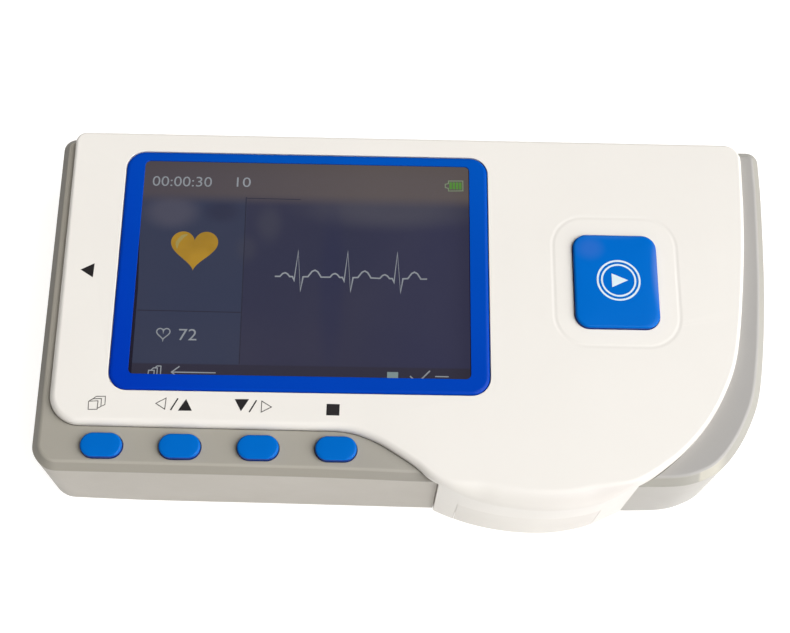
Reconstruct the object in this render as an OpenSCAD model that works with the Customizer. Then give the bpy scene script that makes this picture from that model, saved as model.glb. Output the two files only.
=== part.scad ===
// Hand-held heart monitor: a flat case with a colour screen, five keys,
// three metal touch plates and two AAA cells.
// Millimetres. Drawn about the middle of the screen, then moved so that the
// origin lies under the middle of the whole outline, on the back face.
// +X runs along the case, +Y to its top edge, +Z out of the face.

/* [Case] */
// Thickness from the back to the white face
case_t = 20.5; // [20.5:0.5:24]
// Wall thickness of the grey shells
wall = 1.6; // [1.4:0.1:1.6]
// Thickness of the grey back plate
back_t = 1.8; // [1.7:0.1:2]
// Height of the white face above the grey deck
deck_drop = 1.5; // [1.5:0.1:1.8]
// Width of the bevel around the grey deck
rim_bevel = 1.3; // [0.8:0.1:1.4]
// How far the white belly stands out below the grey case
belly_out = 4.4; // [3.5:0.1:5]
// Wall thickness of the white belly
belly_wall = 2.4; // [2.2:0.1:2.6]
// Width of the rounding around the white face
face_round = 1.2; // [1:0.1:1.8]

/* [Screen] */
// Width of the blue window frame
lens_w = 64; // [62:0.5:66]
// Height of the blue window frame
lens_h = 44.5; // [44:0.5:45]
// Thickness of the clear window
lens_t = 0.9; // [0.8:0.1:1]
// Width of the clear opening
view_w = 57.6; // [55:0.2:58]
// Height of the clear opening
view_h = 40; // [38:0.2:40.4]
// How far the clear opening sits above the middle of its frame
view_up = 0.5; // [0:0.1:0.6]
// Depth of the display surface below the white face
screen_sink = 3.3; // [3.1:0.1:3.6]

/* [Keys] */
// Distance between the small oval keys
key_pitch = 12.9; // [12:0.05:13]
// Width of a small oval key
key_w = 7.1; // [6.4:0.1:7.4]
// Height of a small oval key
key_h = 4.2; // [3.8:0.1:4.4]
// Height of a small key above the deck
key_rise = 1.1; // [0.6:0.1:1.4]
// Width of the start key
start_w = 14.6; // [13:0.1:15]
// Height of the start key
start_h = 17.4; // [16:0.1:17.6]
// Height of the start key above the white face
start_rise = 0.8; // [0.5:0.1:1.2]
// Travel of every key
key_travel = 0.6; // [0.3:0.1:0.6]

/* [Power] */
// Diameter of a cell
cell_d = 10.4; // [10:0.1:10.5]
// Length of a cell with its nub
cell_l = 44.5; // [44:0.1:44.6]

/* [Fasteners] */
// Shank diameter of the case screws
screw_d = 2; // [1.8:0.1:2.2]
// Shank diameter of the board screws
small_d = 1.6; // [1.4:0.1:1.8]

/* [Hidden] */
$fn = 48;
e = 0.02;

// levels above the back face
face_z = case_t;
deck_z = face_z - deck_drop;      // grey deck, and underside of the white plate
waist_z = deck_z - 1.5;           // widest line, where the grey shells part
lcd_z = face_z - screen_sink;     // display surface
lcd_t = 2.6;                      // display module
board_top = lcd_z - lcd_t - 0.1;  // display board, upper side
board_t = 1;
switch_h = 1.2;
plunger_top = board_top + switch_h + key_travel + 0.1;
main_z = 3.6;                     // main board, under side
main_t = 1.2;
bay_top = 2 + cell_d + 0.1;       // under side of the battery bay's roof

// plan positions, from the middle of the screen
left_x = -44.1;
right_x = 81.9;
top_y = 25.9;
foot_y = -36.7;
key_y = -31.65;
key_x = [for (i = [0:3]) -32.35 + key_pitch * i];
start_c = [54.05, -1.3];
bay = [-31, 17, 2, 24.2];         // battery bay inside: x, x, y, y
door = [-32, 18, 1.2];            // battery door: x, x, inner edge y
row_y = [7.6, 18.7];              // the two cells
case_holes = [[-38.5, 20], [-38.5, -25], [73.5, 19.5], [69, -25.5]];
display_holes = [[40, 20], [40, -25], [64.5, 14.5], [64.5, -16.5]];
main_holes = [[25.5, 19.5], [25.5, -29.5], [61.5, 20.5], [59.5, -30]];
stakes = [[-38.3, -4], [37.8, 12], [37.8, -14], [71, 2]];
flap = [26.95, 51.3, 0.2, 11.4];   // port cover: x, x, z, z
port_x = 39.6;
port_z = 6.9;

ox = -(left_x + right_x) / 2;
oy = -(foot_y - belly_out - 0.054 + top_y + 0.2) / 2;  // the belly's curve bows 0.05 past its lowest point
module placed() translate([ox, oy, 0]) children();

// ---------- outlines ----------
function arc(c, r, a0, a1, n = 5) =
  [for (i = [0:n]) let (a = a0 + (a1 - a0) * i / n) c + r * [cos(a), sin(a)]];
// smooth curve through a list of points; the first and last only guide it
function through(p, n = 3) =
  [for (i = [1:len(p) - 3]) for (j = [0:n - 1])
    let (t = j / n, a = p[i - 1], b = p[i], c = p[i + 1], d = p[i + 2])
    0.5 * (2 * b + (c - a) * t + (2 * a - 5 * b + 4 * c - d) * t * t
      + (3 * b - a - 3 * c + d) * t * t * t)];
function unit(v) = v / norm(v);
function left_of(v) = [-v[1], v[0]];
// moves a closed outline inwards by d
function inset(p, d) = let (n = len(p))
  [for (i = [0:n - 1])
    let (u = left_of(unit(p[i] - p[(i + n - 1) % n])),
         v = left_of(unit(p[(i + 1) % n] - p[i])), m = unit(u + v))
    p[i] + m * d / (m * u)];
// rectangle with round corners about c
function rounded(w, h, r, c = [0, 0], n = 5) = concat(
  arc(c + [w / 2 - r, h / 2 - r], r, 0, 90, n),
  arc(c + [r - w / 2, h / 2 - r], r, 90, 180, n),
  arc(c + [r - w / 2, r - h / 2], r, 180, 270, n),
  arc(c + [w / 2 - r, r - h / 2], r, 270, 360, n));

// grey case; k softens the corners for use inside the walls
function case_outline(k = 0) = concat(
  arc([left_x + 2.2 + k, top_y - 2.2 - k], 2.2 + k, 90, 180, 4),
  arc([left_x + 4.4 + k, -31.4 + k], 4.4 + k, 180, 269, 6),
  [[-8, -36.1], [22, -36.5]],
  through([[36, -36.7], [52, -36.8], [58.5, -36.8], [64, -36.5], [67.5, -35.5],
    [70.5, -33.8], [73.4, -30.6], [76.05, -26.2], [78.15, -20.8], [79.7, -12.5],
    [80.9, -2], [81.6, 9], [right_x, 19], [right_x, 23]]),
  arc([right_x - 2 - k, top_y - 2 - k], 2 + k, 0, 90, 4));

// white face plate, with its belly
function belly(x, s) = [x, foot_y - belly_out * s];
function cover_outline(k = 0) = concat(
  arc([-39.7 + k, top_y - 1.7 - k], 1.9 + k, 90, 180, 4),
  arc([-36.4 + k, -23 + k], 5.2 + k, 180, 270, 6),
  through([[0, -28.4], [6, -28.5], [9.5, -28.9], [13, -30], [16, -31.45],
    [19.5, -34.15], belly(22.5, 0.03), belly(27.5, 0.52), belly(33, 0.84),
    belly(39, 1), belly(44.5, 0.97), belly(50, 0.72), belly(54.5, 0.28),
    [58, -36.2], [61, -34.1], [64.5, -31.1], [68, -27.2], [71, -22.6],
    [73.6, -16.9], [75.1, -10.7], [76.4, -1.5], [77.3, 7.5], [77.8, 16],
    [78, 25]]),
  arc([74.9 - k, top_y - 2.9 - k], 3.1 + k, 0, 90, 5));

// solid between rings of points of equal number, lowest first
module loft(rings) {
  n = len(rings[0]);
  m = len(rings);
  polyhedron(
    points = [for (r = rings) each r],
    faces = concat([[for (i = [0:n - 1]) i]],
      [for (k = [0:m - 2]) for (i = [0:n - 1]) let (j = (i + 1) % n)
        [k * n + i, k * n + n + i, k * n + n + j, k * n + j]],
      [[for (i = [n - 1:-1:0]) (m - 1) * n + i]]));
}
function ring(p, d, z) = [for (q = inset(p, d)) [q[0], q[1], z]];
module slab(p, z0, z1) translate([0, 0, z0]) linear_extrude(z1 - z0) polygon(p);
module block(x0, x1, y0, y1, z0, z1)
  translate([x0, y0, z0]) cube([x1 - x0, y1 - y0, z1 - z0]);
module rod(p, r, z0, z1) translate([p[0], p[1], z0]) cylinder(r = r, h = z1 - z0);

// the strip of the case where the white belly wall takes the grey wall's place
module belly_zone(x0, x1, z0, z1, y1 = -34.4) block(x0, x1, -44, y1, z0, z1);

// grey outer form from the back up to the parting line
module case_form()
  loft([ring(case_outline(), 0.4, 0), ring(case_outline(), 0.12, 0.12),
    ring(case_outline(), 0, 0.4), ring(case_outline(), 0, waist_z)]);

// ---------- white face plate ----------
module front_cover() color([0.95, 0.93, 0.9]) placed() difference() {
  union() {
    loft([ring(cover_outline(), 0, deck_z),
      ring(cover_outline(), face_round * 0.08, deck_z + deck_drop * 0.4),
      ring(cover_outline(), face_round * 0.3, deck_z + deck_drop * 0.72),
      ring(cover_outline(), face_round * 0.62, deck_z + deck_drop * 0.93),
      ring(cover_outline(), face_round, face_z)]);
    // belly wall down to the back
    difference() {
      intersection() {
        slab(cover_outline(), 0, deck_z);
        belly_zone(23.35, 56.5, -1, deck_z + 1);
      }
      slab(inset(cover_outline(), belly_wall), -1, deck_z);
    }
    // stakes that pass through the deck frame
    for (p = stakes) rod(p, 1, waist_z - 0.4, deck_z + 0.2);
  }
  // seat of the window, and the opening under it
  slab(rounded(lens_w + 0.2, lens_h + 0.2, 3.3), face_z - lens_t + 0.1 - 0.2, face_z + 1);
  slab(rounded(view_w + 2, view_h + 1.6, 1, [0, view_up]), deck_z - 1, face_z + 1);
  // start key: shallow groove around it, and its hole
  difference() {
    slab(rounded(22.6, 25.2, 6.1, start_c + [0, 0.25]), face_z - 0.12, face_z + 1);
    slab(rounded(20.6, 23.2, 5.1, start_c + [0, 0.25]), face_z - 1, face_z + 2);
  }
  slab(rounded(start_w + 0.3, start_h + 0.3, 2.6, start_c), deck_z - 1, face_z + 1);
  // seat of the port cover, and the port's window
  intersection() {
    difference() {
      slab(inset(cover_outline(), -2), -1, flap[3] + 0.1);
      slab(inset(cover_outline(), 1.3), -2, flap[3] + 1);
    }
    block(flap[0] - 0.12, flap[1] + 0.12, -44, -36, -2, flap[3] + 1);
  }
  block(port_x - 4.7, port_x + 4.7, -42, -36, port_z - 2.6, port_z + 2.6);
}

// ---------- grey shells ----------
module deck_frame() color([0.63, 0.62, 0.58]) placed() difference() {
  union() {
    difference() {
      loft([ring(case_outline(), 0, waist_z), ring(case_outline(), rim_bevel, deck_z)]);
      belly_zone(23.25, 56.6, waist_z - 1, deck_z + 1);
    }
    // the deck inside the belly
    intersection() {
      slab(inset(cover_outline(), belly_wall + 0.1), waist_z, deck_z);
      belly_zone(23.25, 56.6, waist_z - 1, deck_z + 1, -34);
    }
    // lip that locates in the rear shell
    difference() {
      slab(inset(case_outline(1.5), wall + 0.05), waist_z - 1.6, waist_z + 0.1);
      slab(inset(case_outline(3), wall + 1), waist_z - 2, waist_z);
      block(-39, 13, -40, -28, waist_z - 2, waist_z);
      belly_zone(20, 60, waist_z - 2, waist_z);
    }
    for (p = case_holes) rod(p, 2.4, 13.2, waist_z + 0.1);
    for (p = display_holes) rod(p, 2.1, board_top, waist_z + 0.1);
  }
  // display opening
  block(-35.3, 35.3, -27.2, 23.7, waist_z - 3, deck_z + 1);
  // start key opening
  slab(rounded(start_w + 2.9, start_h + 2.9, 3, start_c), waist_z - 1, deck_z + 1);
  // oval key holes
  for (x = key_x)
    slab(rounded(key_w + 0.3, key_h + 0.3, key_h / 2 + 0.15 - e, [x, key_y], 7), waist_z - 1, deck_z + 1);
  for (p = case_holes) rod(p, screw_d / 2 + 0.02, 12, waist_z - 0.2);
  for (p = display_holes) rod(p, small_d / 2 + 0.02, 12, waist_z);
  for (p = stakes) rod(p, 1.03, waist_z - 1, deck_z + 1);
}

module rear_shell() color([0.72, 0.71, 0.67]) placed() difference() {
  union() {
    difference() {
      case_form();
      slab(inset(case_outline(1.5), wall), back_t, waist_z + 1);
      belly_zone(23.25, 56.6, -1, waist_z + 1);
    }
    // back plate inside the belly
    intersection() {
      slab(inset(cover_outline(), belly_wall + 0.1), 0, back_t);
      belly_zone(23.25, 56.6, -1, waist_z, -34);
    }
    // battery bay
    block(bay[0] - 1.2, bay[1] + 1.2, bay[2] - 1.2, top_y - wall + 0.1, back_t - 0.1, bay_top + 0.8);
    block(bay[0] - 3.2, bay[1] + 3.2, bay[2] - 1.2, top_y - wall + 0.1, back_t - 0.1, 3);
    // screw towers and board posts
    for (p = case_holes) rod(p, 2.8, 0.5, 13);
    for (p = main_holes) rod(p, 2.1, 1, main_z);
    // ribs that stiffen the back
    for (y = [-10, -20]) block(-40, 17, y, y + 1, back_t - 0.1, 4);
  }
  block(bay[0], bay[1], bay[2], bay[3], back_t - 1, bay_top);
  // door opening, its side grooves and the cut in the top wall
  block(door[0], door[1], door[2], top_y + 1, -1, 1);
  block(door[0] - 1.2, door[1] + 1.2, door[2] - 0.4, top_y + 1, 0.8, 1.7);
  for (p = case_holes) {
    rod(p, 2.1, -1, 8);
    rod(p, screw_d / 2 + 0.1, 7, 14);
  }
  for (p = main_holes) rod(p, small_d / 2 + 0.02, 1.2, main_z + 1);
  // seats and holes of the three touch plates
  for (y = [9, -6]) {
    slab(rounded(17.1, 9.1, 4.4, [66, y], 7), -1, 0.65);
    rod([66, y], 1.1, 0, back_t + 1);
  }
  block(left_x - 1, left_x + 0.65, -17.05, 7.05, 4.95, 13.05);
  translate([left_x - 1, -5, 9]) rotate([0, 90, 0]) cylinder(r = 1.1, h = 4);
}

module battery_door() color([0.72, 0.71, 0.67]) placed() difference() {
  intersection() {
    case_form();
    union() {
      block(door[0] + 0.1, door[1] - 0.1, door[2] + 0.1, top_y + 1, -1, 1.6);
      block(door[0] - 1.1, door[1] + 1.1, door[2] + 0.1, top_y + 1, 0.9, 1.6);
    }
  }
  // grip grooves
  for (i = [0:4]) block(-16, 2, 14 + 1.8 * i, 14.8 + 1.8 * i, -1, 0.5);
}

// ---------- display ----------
module display_lens() color([0.8, 0.88, 0.95, 0.4]) placed()
  slab(rounded(lens_w, lens_h, 3.2), face_z - lens_t + 0.1, face_z + 0.1);

module lens_border() color([0, 0.27, 0.73]) placed() difference() {
  slab(rounded(lens_w, lens_h, 3.2), face_z - lens_t - 0.1, face_z - lens_t + 0.1);
  slab(rounded(view_w, view_h, 0.8, [0, view_up]), face_z - lens_t - 1, face_z);
}

module display_gasket() color([0.1, 0.1, 0.1]) placed() difference() {
  slab(rounded(view_w + 6, view_h + 5, 1, [0, view_up]), lcd_z, deck_z);
  slab(rounded(view_w + 1.2, view_h + 1.2, 0.8, [0, view_up]), lcd_z - 1, deck_z + 1);
}

module lcd_panel() color([0.2, 0.2, 0.3]) placed()
  block(-33.4, 33.4, -25.4, 22.4, lcd_z - 1.2, lcd_z);

module lcd_backlight() color([0.93, 0.93, 0.9]) placed()
  block(-33.4, 33.4, -25.4, 22.4, lcd_z - 2.3, lcd_z - 1.2);

module lcd_frame() color([0.75, 0.76, 0.78]) placed() difference() {
  block(-34.6, 34.6, -26.6, 23.4, lcd_z - lcd_t, lcd_z);
  block(-33.45, 33.45, -25.45, 22.45, lcd_z - 2.3, lcd_z + 1);
  // gap for the ribbon
  block(14.9, 29.1, -28, -25, board_top + 0.3, board_top + 0.9);
}

module lcd_flex() color([0.8, 0.5, 0.15]) placed() {
  block(15, 29, -28.5, -25.5, board_top + 0.5, board_top + 0.65);
}

module lcd_connector() color([0.9, 0.88, 0.82]) placed() difference() {
  block(14, 30, -31.5, -27.6, board_top, board_top + 1.2);
  block(14.9, 29.1, -28.6, -27, board_top + 0.4, board_top + 0.75);
}

// ---------- keys ----------
// oval key i, with ears under the deck that stop it coming out
module oval_key(i) {
  c = [key_x[i], key_y];
  o = rounded(key_w, key_h, key_h / 2 - e, c, 7);
  top = deck_z + key_rise;
  loft([ring(o, 0, plunger_top), ring(o, 0, top - 0.8), ring(o, 0.2, top - 0.4),
    ring(o, 0.7, top - 0.1), ring(o, 1.4, top)]);
  block(c[0] - key_w / 2 - 0.8, c[0] + key_w / 2 + 0.8, c[1] - 1.9, c[1] + 2.9,
    plunger_top, waist_z - 0.1);
}
module menu_button() color([0, 0.38, 0.78]) placed() oval_key(0);
module left_up_button() color([0, 0.38, 0.78]) placed() oval_key(1);
module right_down_button() color([0, 0.38, 0.78]) placed() oval_key(2);
module stop_button() color([0, 0.38, 0.78]) placed() oval_key(3);

module start_button() color([0, 0.33, 0.75]) placed() {
  o = rounded(start_w, start_h, 2.5, start_c);
  top = face_z + start_rise;
  loft([ring(o, 0, deck_z - 1.1), ring(o, 0, top - 0.7), ring(o, 0.3, top - 0.35),
    ring(o, 1, top - 0.15), ring(o, 2.2, top)]);
  slab(rounded(start_w + 2, start_h + 2, 2.5, start_c), deck_z - 1, deck_z - 0.1);
  rod(start_c, 2, plunger_top, deck_z - 0.5);
}

// plunger of a key switch: a round pin with a collar inside the switch
module plunger(c) placed() {
  rod(c, 1.1, board_top + switch_h - 0.5, plunger_top);
  rod(c, 1.4, board_top + switch_h - 0.5, board_top + switch_h - 0.25);
}
module start_plunger() color([0.15, 0.15, 0.16]) plunger(start_c);
module menu_plunger() color([0.15, 0.15, 0.16]) plunger([key_x[0], key_y]);
module left_up_plunger() color([0.15, 0.15, 0.16]) plunger([key_x[1], key_y]);
module right_down_plunger() color([0.15, 0.15, 0.16]) plunger([key_x[2], key_y]);
module stop_plunger() color([0.15, 0.15, 0.16]) plunger([key_x[3], key_y]);

module switch_bases() color([0.8, 0.8, 0.78]) placed()
  for (c = concat([start_c], [for (x = key_x) [x, key_y]])) difference() {
    block(c[0] - 2.6, c[0] + 2.6, c[1] - 1.9, c[1] + 1.9, board_top, board_top + switch_h);
    rod(c, 1.15, board_top + 0.05, board_top + 2);
    rod(c, 1.5, board_top + 0.05, board_top + switch_h - 0.2);
  }

// ---------- electronics ----------
module display_board() color([0.05, 0.36, 0.2]) placed() difference() {
  union() {
    block(-35, 66, -33.8, 23.2, board_top - board_t, board_top);
  }
  for (p = display_holes) rod(p, small_d / 2 + 0.15, 0, case_t);
  block(58, 67, -34, -22, 0, case_t);
}

module main_board() color([0.05, 0.36, 0.2]) placed() difference() {
  union() {
    intersection() {
      slab(inset(case_outline(2), wall + 0.8), main_z, main_z + main_t);
      block(20.5, 80, -34, 23.2, 0, 10);
    }
    block(31, 48.5, -36.9, -33.5, main_z, main_z + main_t);
  }
  for (p = main_holes) rod(p, small_d / 2 + 0.15, 0, 10);
  for (p = case_holes) rod(p, 3.1, 0, 10);
}

module board_header() color([0.12, 0.12, 0.13]) placed() {
  block(22.2, 24.8, -22, -4, main_z + main_t, board_top - board_t);
}

module processor_chip() color([0.12, 0.12, 0.13]) placed()
  block(29, 41, -14, -2, board_top - board_t - 1.4, board_top - board_t);

module memory_chip() color([0.12, 0.12, 0.13]) placed()
  block(29, 41, 4, 12, board_top - board_t - 1.1, board_top - board_t);

module shield_can() color([0.78, 0.79, 0.8]) placed() difference() {
  block(38, 57, -3, 15, main_z + main_t, main_z + main_t + 2.4);
  block(38.3, 56.7, -2.7, 14.7, main_z, main_z + main_t + 2.1);
  for (i = [0:4]) rod([42 + 2.8 * i, 6], 0.6, main_z + main_t + 1, main_z + main_t + 4);
}

module crystal() color([0.8, 0.8, 0.78]) placed()
  slab(rounded(10.5, 4.4, 2.1, [48, -9.5], 7), main_z + main_t, main_z + main_t + 3.2);

module buzzer() color([0.1, 0.1, 0.11]) placed() difference() {
  rod([53, -20], 4.8, main_z + main_t, main_z + main_t + 4.2);
  rod([53, -20], 1, main_z + main_t + 2, main_z + main_t + 6);
}

module chip_capacitors() color([0.72, 0.55, 0.35]) placed()
  for (i = [0:3]) for (j = [0:1])
    block(28 + 3 * i, 29.2 + 3 * i, -24 + 4 * j, -22 + 4 * j, main_z + main_t, main_z + main_t + 1);

module data_port() color([0.78, 0.79, 0.8]) placed() difference() {
  block(port_x - 4, port_x + 4, -38, -30, main_z + main_t, port_z + 2.1);
  block(port_x - 3.6, port_x + 3.6, -39, -30.6, main_z + main_t + 0.4, port_z + 1.7);
}

module port_tongue() color([0.1, 0.1, 0.11]) placed()
  block(port_x - 2.6, port_x + 2.6, -36.6, -30.6, port_z - 0.5, port_z + 0.3);

// soft flap in the belly wall, with a plug that seals the port's window
module port_cover() color([0.92, 0.91, 0.88]) placed() {
  intersection() {
    difference() {
      slab(cover_outline(), flap[2], flap[3]);
      slab(inset(cover_outline(), 1.2), flap[2] - 1, flap[3] + 1);
    }
    block(flap[0], flap[1], -44, -36, 0, flap[3] + 1);
  }
  block(port_x - 4.1, port_x + 4.1, foot_y - belly_out + 1, foot_y - belly_out + 2.3, port_z - 2, port_z + 2);
}

// ---------- power ----------
// cell lying along X; s is 1 with its nub to +X and -1 with its nub to -X
module cell(y, s, x0) translate([x0, y, 2 + cell_d / 2]) rotate([0, 90 * s, 0]) {
  cylinder(r = cell_d / 2, h = cell_l - 1);
  translate([0, 0, cell_l - 1.5]) cylinder(r = 1.9, h = 1.5);
}
module cell_a() color([0.16, 0.35, 0.3]) placed() cell(row_y[0], 1, bay[1] - 0.3 - cell_l);
module cell_b() color([0.16, 0.35, 0.3]) placed() cell(row_y[1], -1, bay[0] + 0.3 + cell_l);

// coil: round wire swept along a helix that runs along +X
spring_l = bay[1] - bay[0] - 0.6 - cell_l;
module coil(r = 2.6, w = 0.25, turns = 2.5, steps = 18) {
  n = round(turns * steps);
  pitch = (spring_l - 2 * w - 0.04) / turns;
  polyhedron(
    points = [for (i = [0:n]) let (a = 360 * i / steps)
      for (k = [0:5]) let (b = -60 * k, q = r + w * cos(b))
        [w + 0.02 + pitch * i / steps + w * sin(b), q * cos(a), q * sin(a)]],
    faces = concat([[for (k = [0:5]) k]],
      [for (i = [0:n - 1]) for (k = [0:5]) let (j = (k + 1) % 6)
        [6 * i + k, 6 * i + 6 + k, 6 * i + 6 + j, 6 * i + j]],
      [[for (k = [5:-1:0]) 6 * n + k]]));
}
module battery_springs() color([0.8, 0.8, 0.78]) placed() {
  translate([bay[0] + 0.3, row_y[0], 2 + cell_d / 2]) coil();
  translate([bay[1] - 0.3, row_y[1], 2 + cell_d / 2]) mirror([1, 0, 0]) coil();
}
module contact_link() color([0.8, 0.8, 0.78]) placed()
  block(bay[0], bay[0] + 0.3, row_y[0] - 4, row_y[1] + 4, 3.2, 11);
module contact_terminals() color([0.8, 0.8, 0.78]) placed()
  for (y = row_y) block(bay[1] - 0.3, bay[1], y - 4, y + 4, 3.2, 11);

// ---------- touch plates ----------
module left_electrode() color([0.8, 0.8, 0.79]) placed() {
  block(left_x + 0.1, left_x + 0.6, -17, 7, 5, 13);
  translate([left_x + 0.5, -5, 9]) rotate([0, 90, 0]) cylinder(r = 1, h = 2);
}
module finger_plate(y) placed() {
  slab(rounded(17, 9, 4.4, [66, y], 7), 0.1, 0.6);
  rod([66, y], 1, 0.5, 2.2);
}
module index_electrode() color([0.8, 0.8, 0.79]) finger_plate(9);
module middle_electrode() color([0.8, 0.8, 0.79]) finger_plate(-6);

// bent leaves between the finger plates and the main board
module finger_contacts() color([0.83, 0.72, 0.45]) placed()
  for (y = [9, -6]) {
    block(64.8, 67.2, y - 1.2, y + 5, 2.2, 2.4);
    block(64.8, 67.2, y + 4.8, y + 5, 2.2, main_z);
  }

// wire from the left plate, along the case under the display, to the main board
lead_path = [[-41.6, -5, 9], [-40.6, -5, 9], [-39, -8, 6], [-36, -14, 5], [-30, -15, 5],
  [14, -15, 5], [18.5, -16, 7], [20.5, -19, 7], [21.4, -24, 6.6], [21.4, -24, 4.8]];
// round tube through points: each ring lies square to the mean of its two runs
module tube(p, r, sides = 8) {
  n = len(p);
  polyhedron(
    points = [for (i = [0:n - 1])
      let (t = unit((i > 0 ? unit(p[i] - p[i - 1]) : [0, 0, 0]) + (i < n - 1 ? unit(p[i + 1] - p[i]) : [0, 0, 0])),
           s = unit(cross(t, [0.3, 1, 0.2])), u = cross(s, t))
      for (k = [0:sides - 1]) let (b = -360 * k / sides) p[i] + r * (cos(b) * s + sin(b) * u)],
    faces = concat([[for (k = [0:sides - 1]) k]],
      [for (i = [0:n - 2]) for (k = [0:sides - 1]) let (j = (k + 1) % sides)
        [sides * i + k, sides * (i + 1) + k, sides * (i + 1) + j, sides * i + j]],
      [[for (k = [sides - 1:-1:0]) sides * (n - 1) + k]]));
}
module electrode_lead() color([0.1, 0.1, 0.11]) placed() tube(lead_path, 0.5);

// ---------- fasteners ----------
// screw pointing up from its head, with a cross slot
module screw(p, z, d, head_r, head_h, l) difference() {
  union() {
    rod(p, head_r, z - head_h, z);
    rod(p, d / 2, z - 0.1, z + l);
  }
  block(p[0] - head_r * 0.6, p[0] + head_r * 0.6, p[1] - 0.25, p[1] + 0.25, z - head_h - 1, z - head_h + 0.6);
  block(p[0] - 0.25, p[0] + 0.25, p[1] - head_r * 0.6, p[1] + head_r * 0.6, z - head_h - 1, z - head_h + 0.6);
}
module case_screws() color([0.7, 0.7, 0.7]) placed()
  for (p = case_holes) screw(p, 8, screw_d, 1.9, 1.4, waist_z - 8.6);
module display_screws() color([0.7, 0.7, 0.7]) placed()
  for (p = display_holes) screw(p, board_top - board_t, small_d, 1.5, 1, waist_z - board_top + board_t - 0.4);
module board_screws() color([0.7, 0.7, 0.7]) placed()
  for (p = main_holes) translate([p[0], p[1], main_z + main_t]) rotate([180, 0, 0])
    screw([0, 0], 0, small_d, 1.5, 1, main_z + main_t - 1.4);

front_cover();
deck_frame();
rear_shell();
battery_door();
display_lens();
lens_border();
display_gasket();
lcd_panel();
lcd_backlight();
lcd_frame();
lcd_flex();
lcd_connector();
start_button();
menu_button();
left_up_button();
right_down_button();
stop_button();
start_plunger();
menu_plunger();
left_up_plunger();
right_down_plunger();
stop_plunger();
switch_bases();
display_board();
main_board();
board_header();
processor_chip();
memory_chip();
shield_can();
crystal();
buzzer();
chip_capacitors();
data_port();
port_tongue();
port_cover();
cell_a();
cell_b();
battery_springs();
contact_link();
contact_terminals();
left_electrode();
index_electrode();
middle_electrode();
finger_contacts();
electrode_lead();
case_screws();
display_screws();
board_screws();
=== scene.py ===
import math

import bmesh
import bpy
import numpy as np
from mathutils import Matrix, Vector


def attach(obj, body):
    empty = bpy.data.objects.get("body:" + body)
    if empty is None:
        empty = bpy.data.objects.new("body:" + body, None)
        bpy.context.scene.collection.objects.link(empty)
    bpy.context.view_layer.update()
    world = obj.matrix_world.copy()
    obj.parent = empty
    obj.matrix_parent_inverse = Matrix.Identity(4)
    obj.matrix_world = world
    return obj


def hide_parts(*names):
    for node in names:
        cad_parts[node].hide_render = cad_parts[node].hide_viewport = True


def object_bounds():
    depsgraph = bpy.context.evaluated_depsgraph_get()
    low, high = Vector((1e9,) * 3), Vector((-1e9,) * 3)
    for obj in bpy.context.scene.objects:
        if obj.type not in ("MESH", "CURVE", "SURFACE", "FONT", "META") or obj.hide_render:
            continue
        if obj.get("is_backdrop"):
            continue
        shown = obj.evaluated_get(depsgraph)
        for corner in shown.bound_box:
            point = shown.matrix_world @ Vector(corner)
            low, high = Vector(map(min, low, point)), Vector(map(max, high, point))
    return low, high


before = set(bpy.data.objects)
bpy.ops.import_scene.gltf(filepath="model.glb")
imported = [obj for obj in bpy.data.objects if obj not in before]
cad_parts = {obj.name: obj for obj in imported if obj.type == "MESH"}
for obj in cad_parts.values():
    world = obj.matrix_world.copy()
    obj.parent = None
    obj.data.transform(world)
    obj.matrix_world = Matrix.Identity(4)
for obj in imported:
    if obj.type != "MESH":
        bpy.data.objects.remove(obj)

cad_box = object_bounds()

# Drawing frame: millimetres about the middle of the screen, z above the back face.
OX, OY = -18.9, 7.527
FACE, DECK, WAIST = 20.5, 19.0, 17.5
KEY_X = [-32.35 + 12.9 * i for i in range(4)]
KEY_Y = -31.65
START = (54.05, -1.3)
RING = (54.07, -1.05)
CELL_Y = (7.6, 18.7)
CASE_HOLES = ((-38.5, 20), (-38.5, -25), (73.5, 19.5), (69, -25.5))
MAIN_HOLES = ((25.5, 19.5), (25.5, -29.5), (61.5, 20.5), (59.5, -30))
PORT_X, PORT_Z = 39.6, 6.9


# ------------------------------------------------------------ outlines
def arc(c, r, a0, a1, n=5):
    a = np.radians(np.linspace(a0, a1, n + 1))
    return np.c_[c[0] + r * np.cos(a), c[1] + r * np.sin(a)]


def through(p, n=3):
    p = np.array(p, float)
    out = []
    for i in range(1, len(p) - 2):
        a, b, c, d = p[i - 1:i + 3]
        for j in range(n):
            t = j / n
            out.append(0.5 * (2 * b + (c - a) * t + (2 * a - 5 * b + 4 * c - d) * t * t
                              + (3 * b - a - 3 * c + d) * t ** 3))
    return np.array(out)


def inset(p, d):
    """Moves a closed counter-clockwise outline inwards by d, one number or one a point."""
    p = np.asarray(p, float)
    e = np.roll(p, -1, 0) - p
    e /= np.linalg.norm(e, axis=1)[:, None]
    v = np.c_[-e[:, 1], e[:, 0]]
    u = np.roll(v, 1, 0)
    m = u + v
    m /= np.linalg.norm(m, axis=1)[:, None]
    return p + m * (np.broadcast_to(np.asarray(d, float), len(p)) / (m * u).sum(1))[:, None]


def rr(w, h, r, c=(0, 0), n=8):
    r = max(r, 0.02)
    x, y = w / 2 - r, h / 2 - r
    return np.vstack([arc((c[0] + x, c[1] + y), r, 0, 90, n), arc((c[0] - x, c[1] + y), r, 90, 180, n),
                      arc((c[0] - x, c[1] - y), r, 180, 270, n), arc((c[0] + x, c[1] - y), r, 270, 360, n)])


def circle(c, r, n=48):
    return arc(c, r, 0, 360 - 360 / n, n - 1)


def belly(x, s):
    return [x, -36.7 - 4.4 * s]


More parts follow.
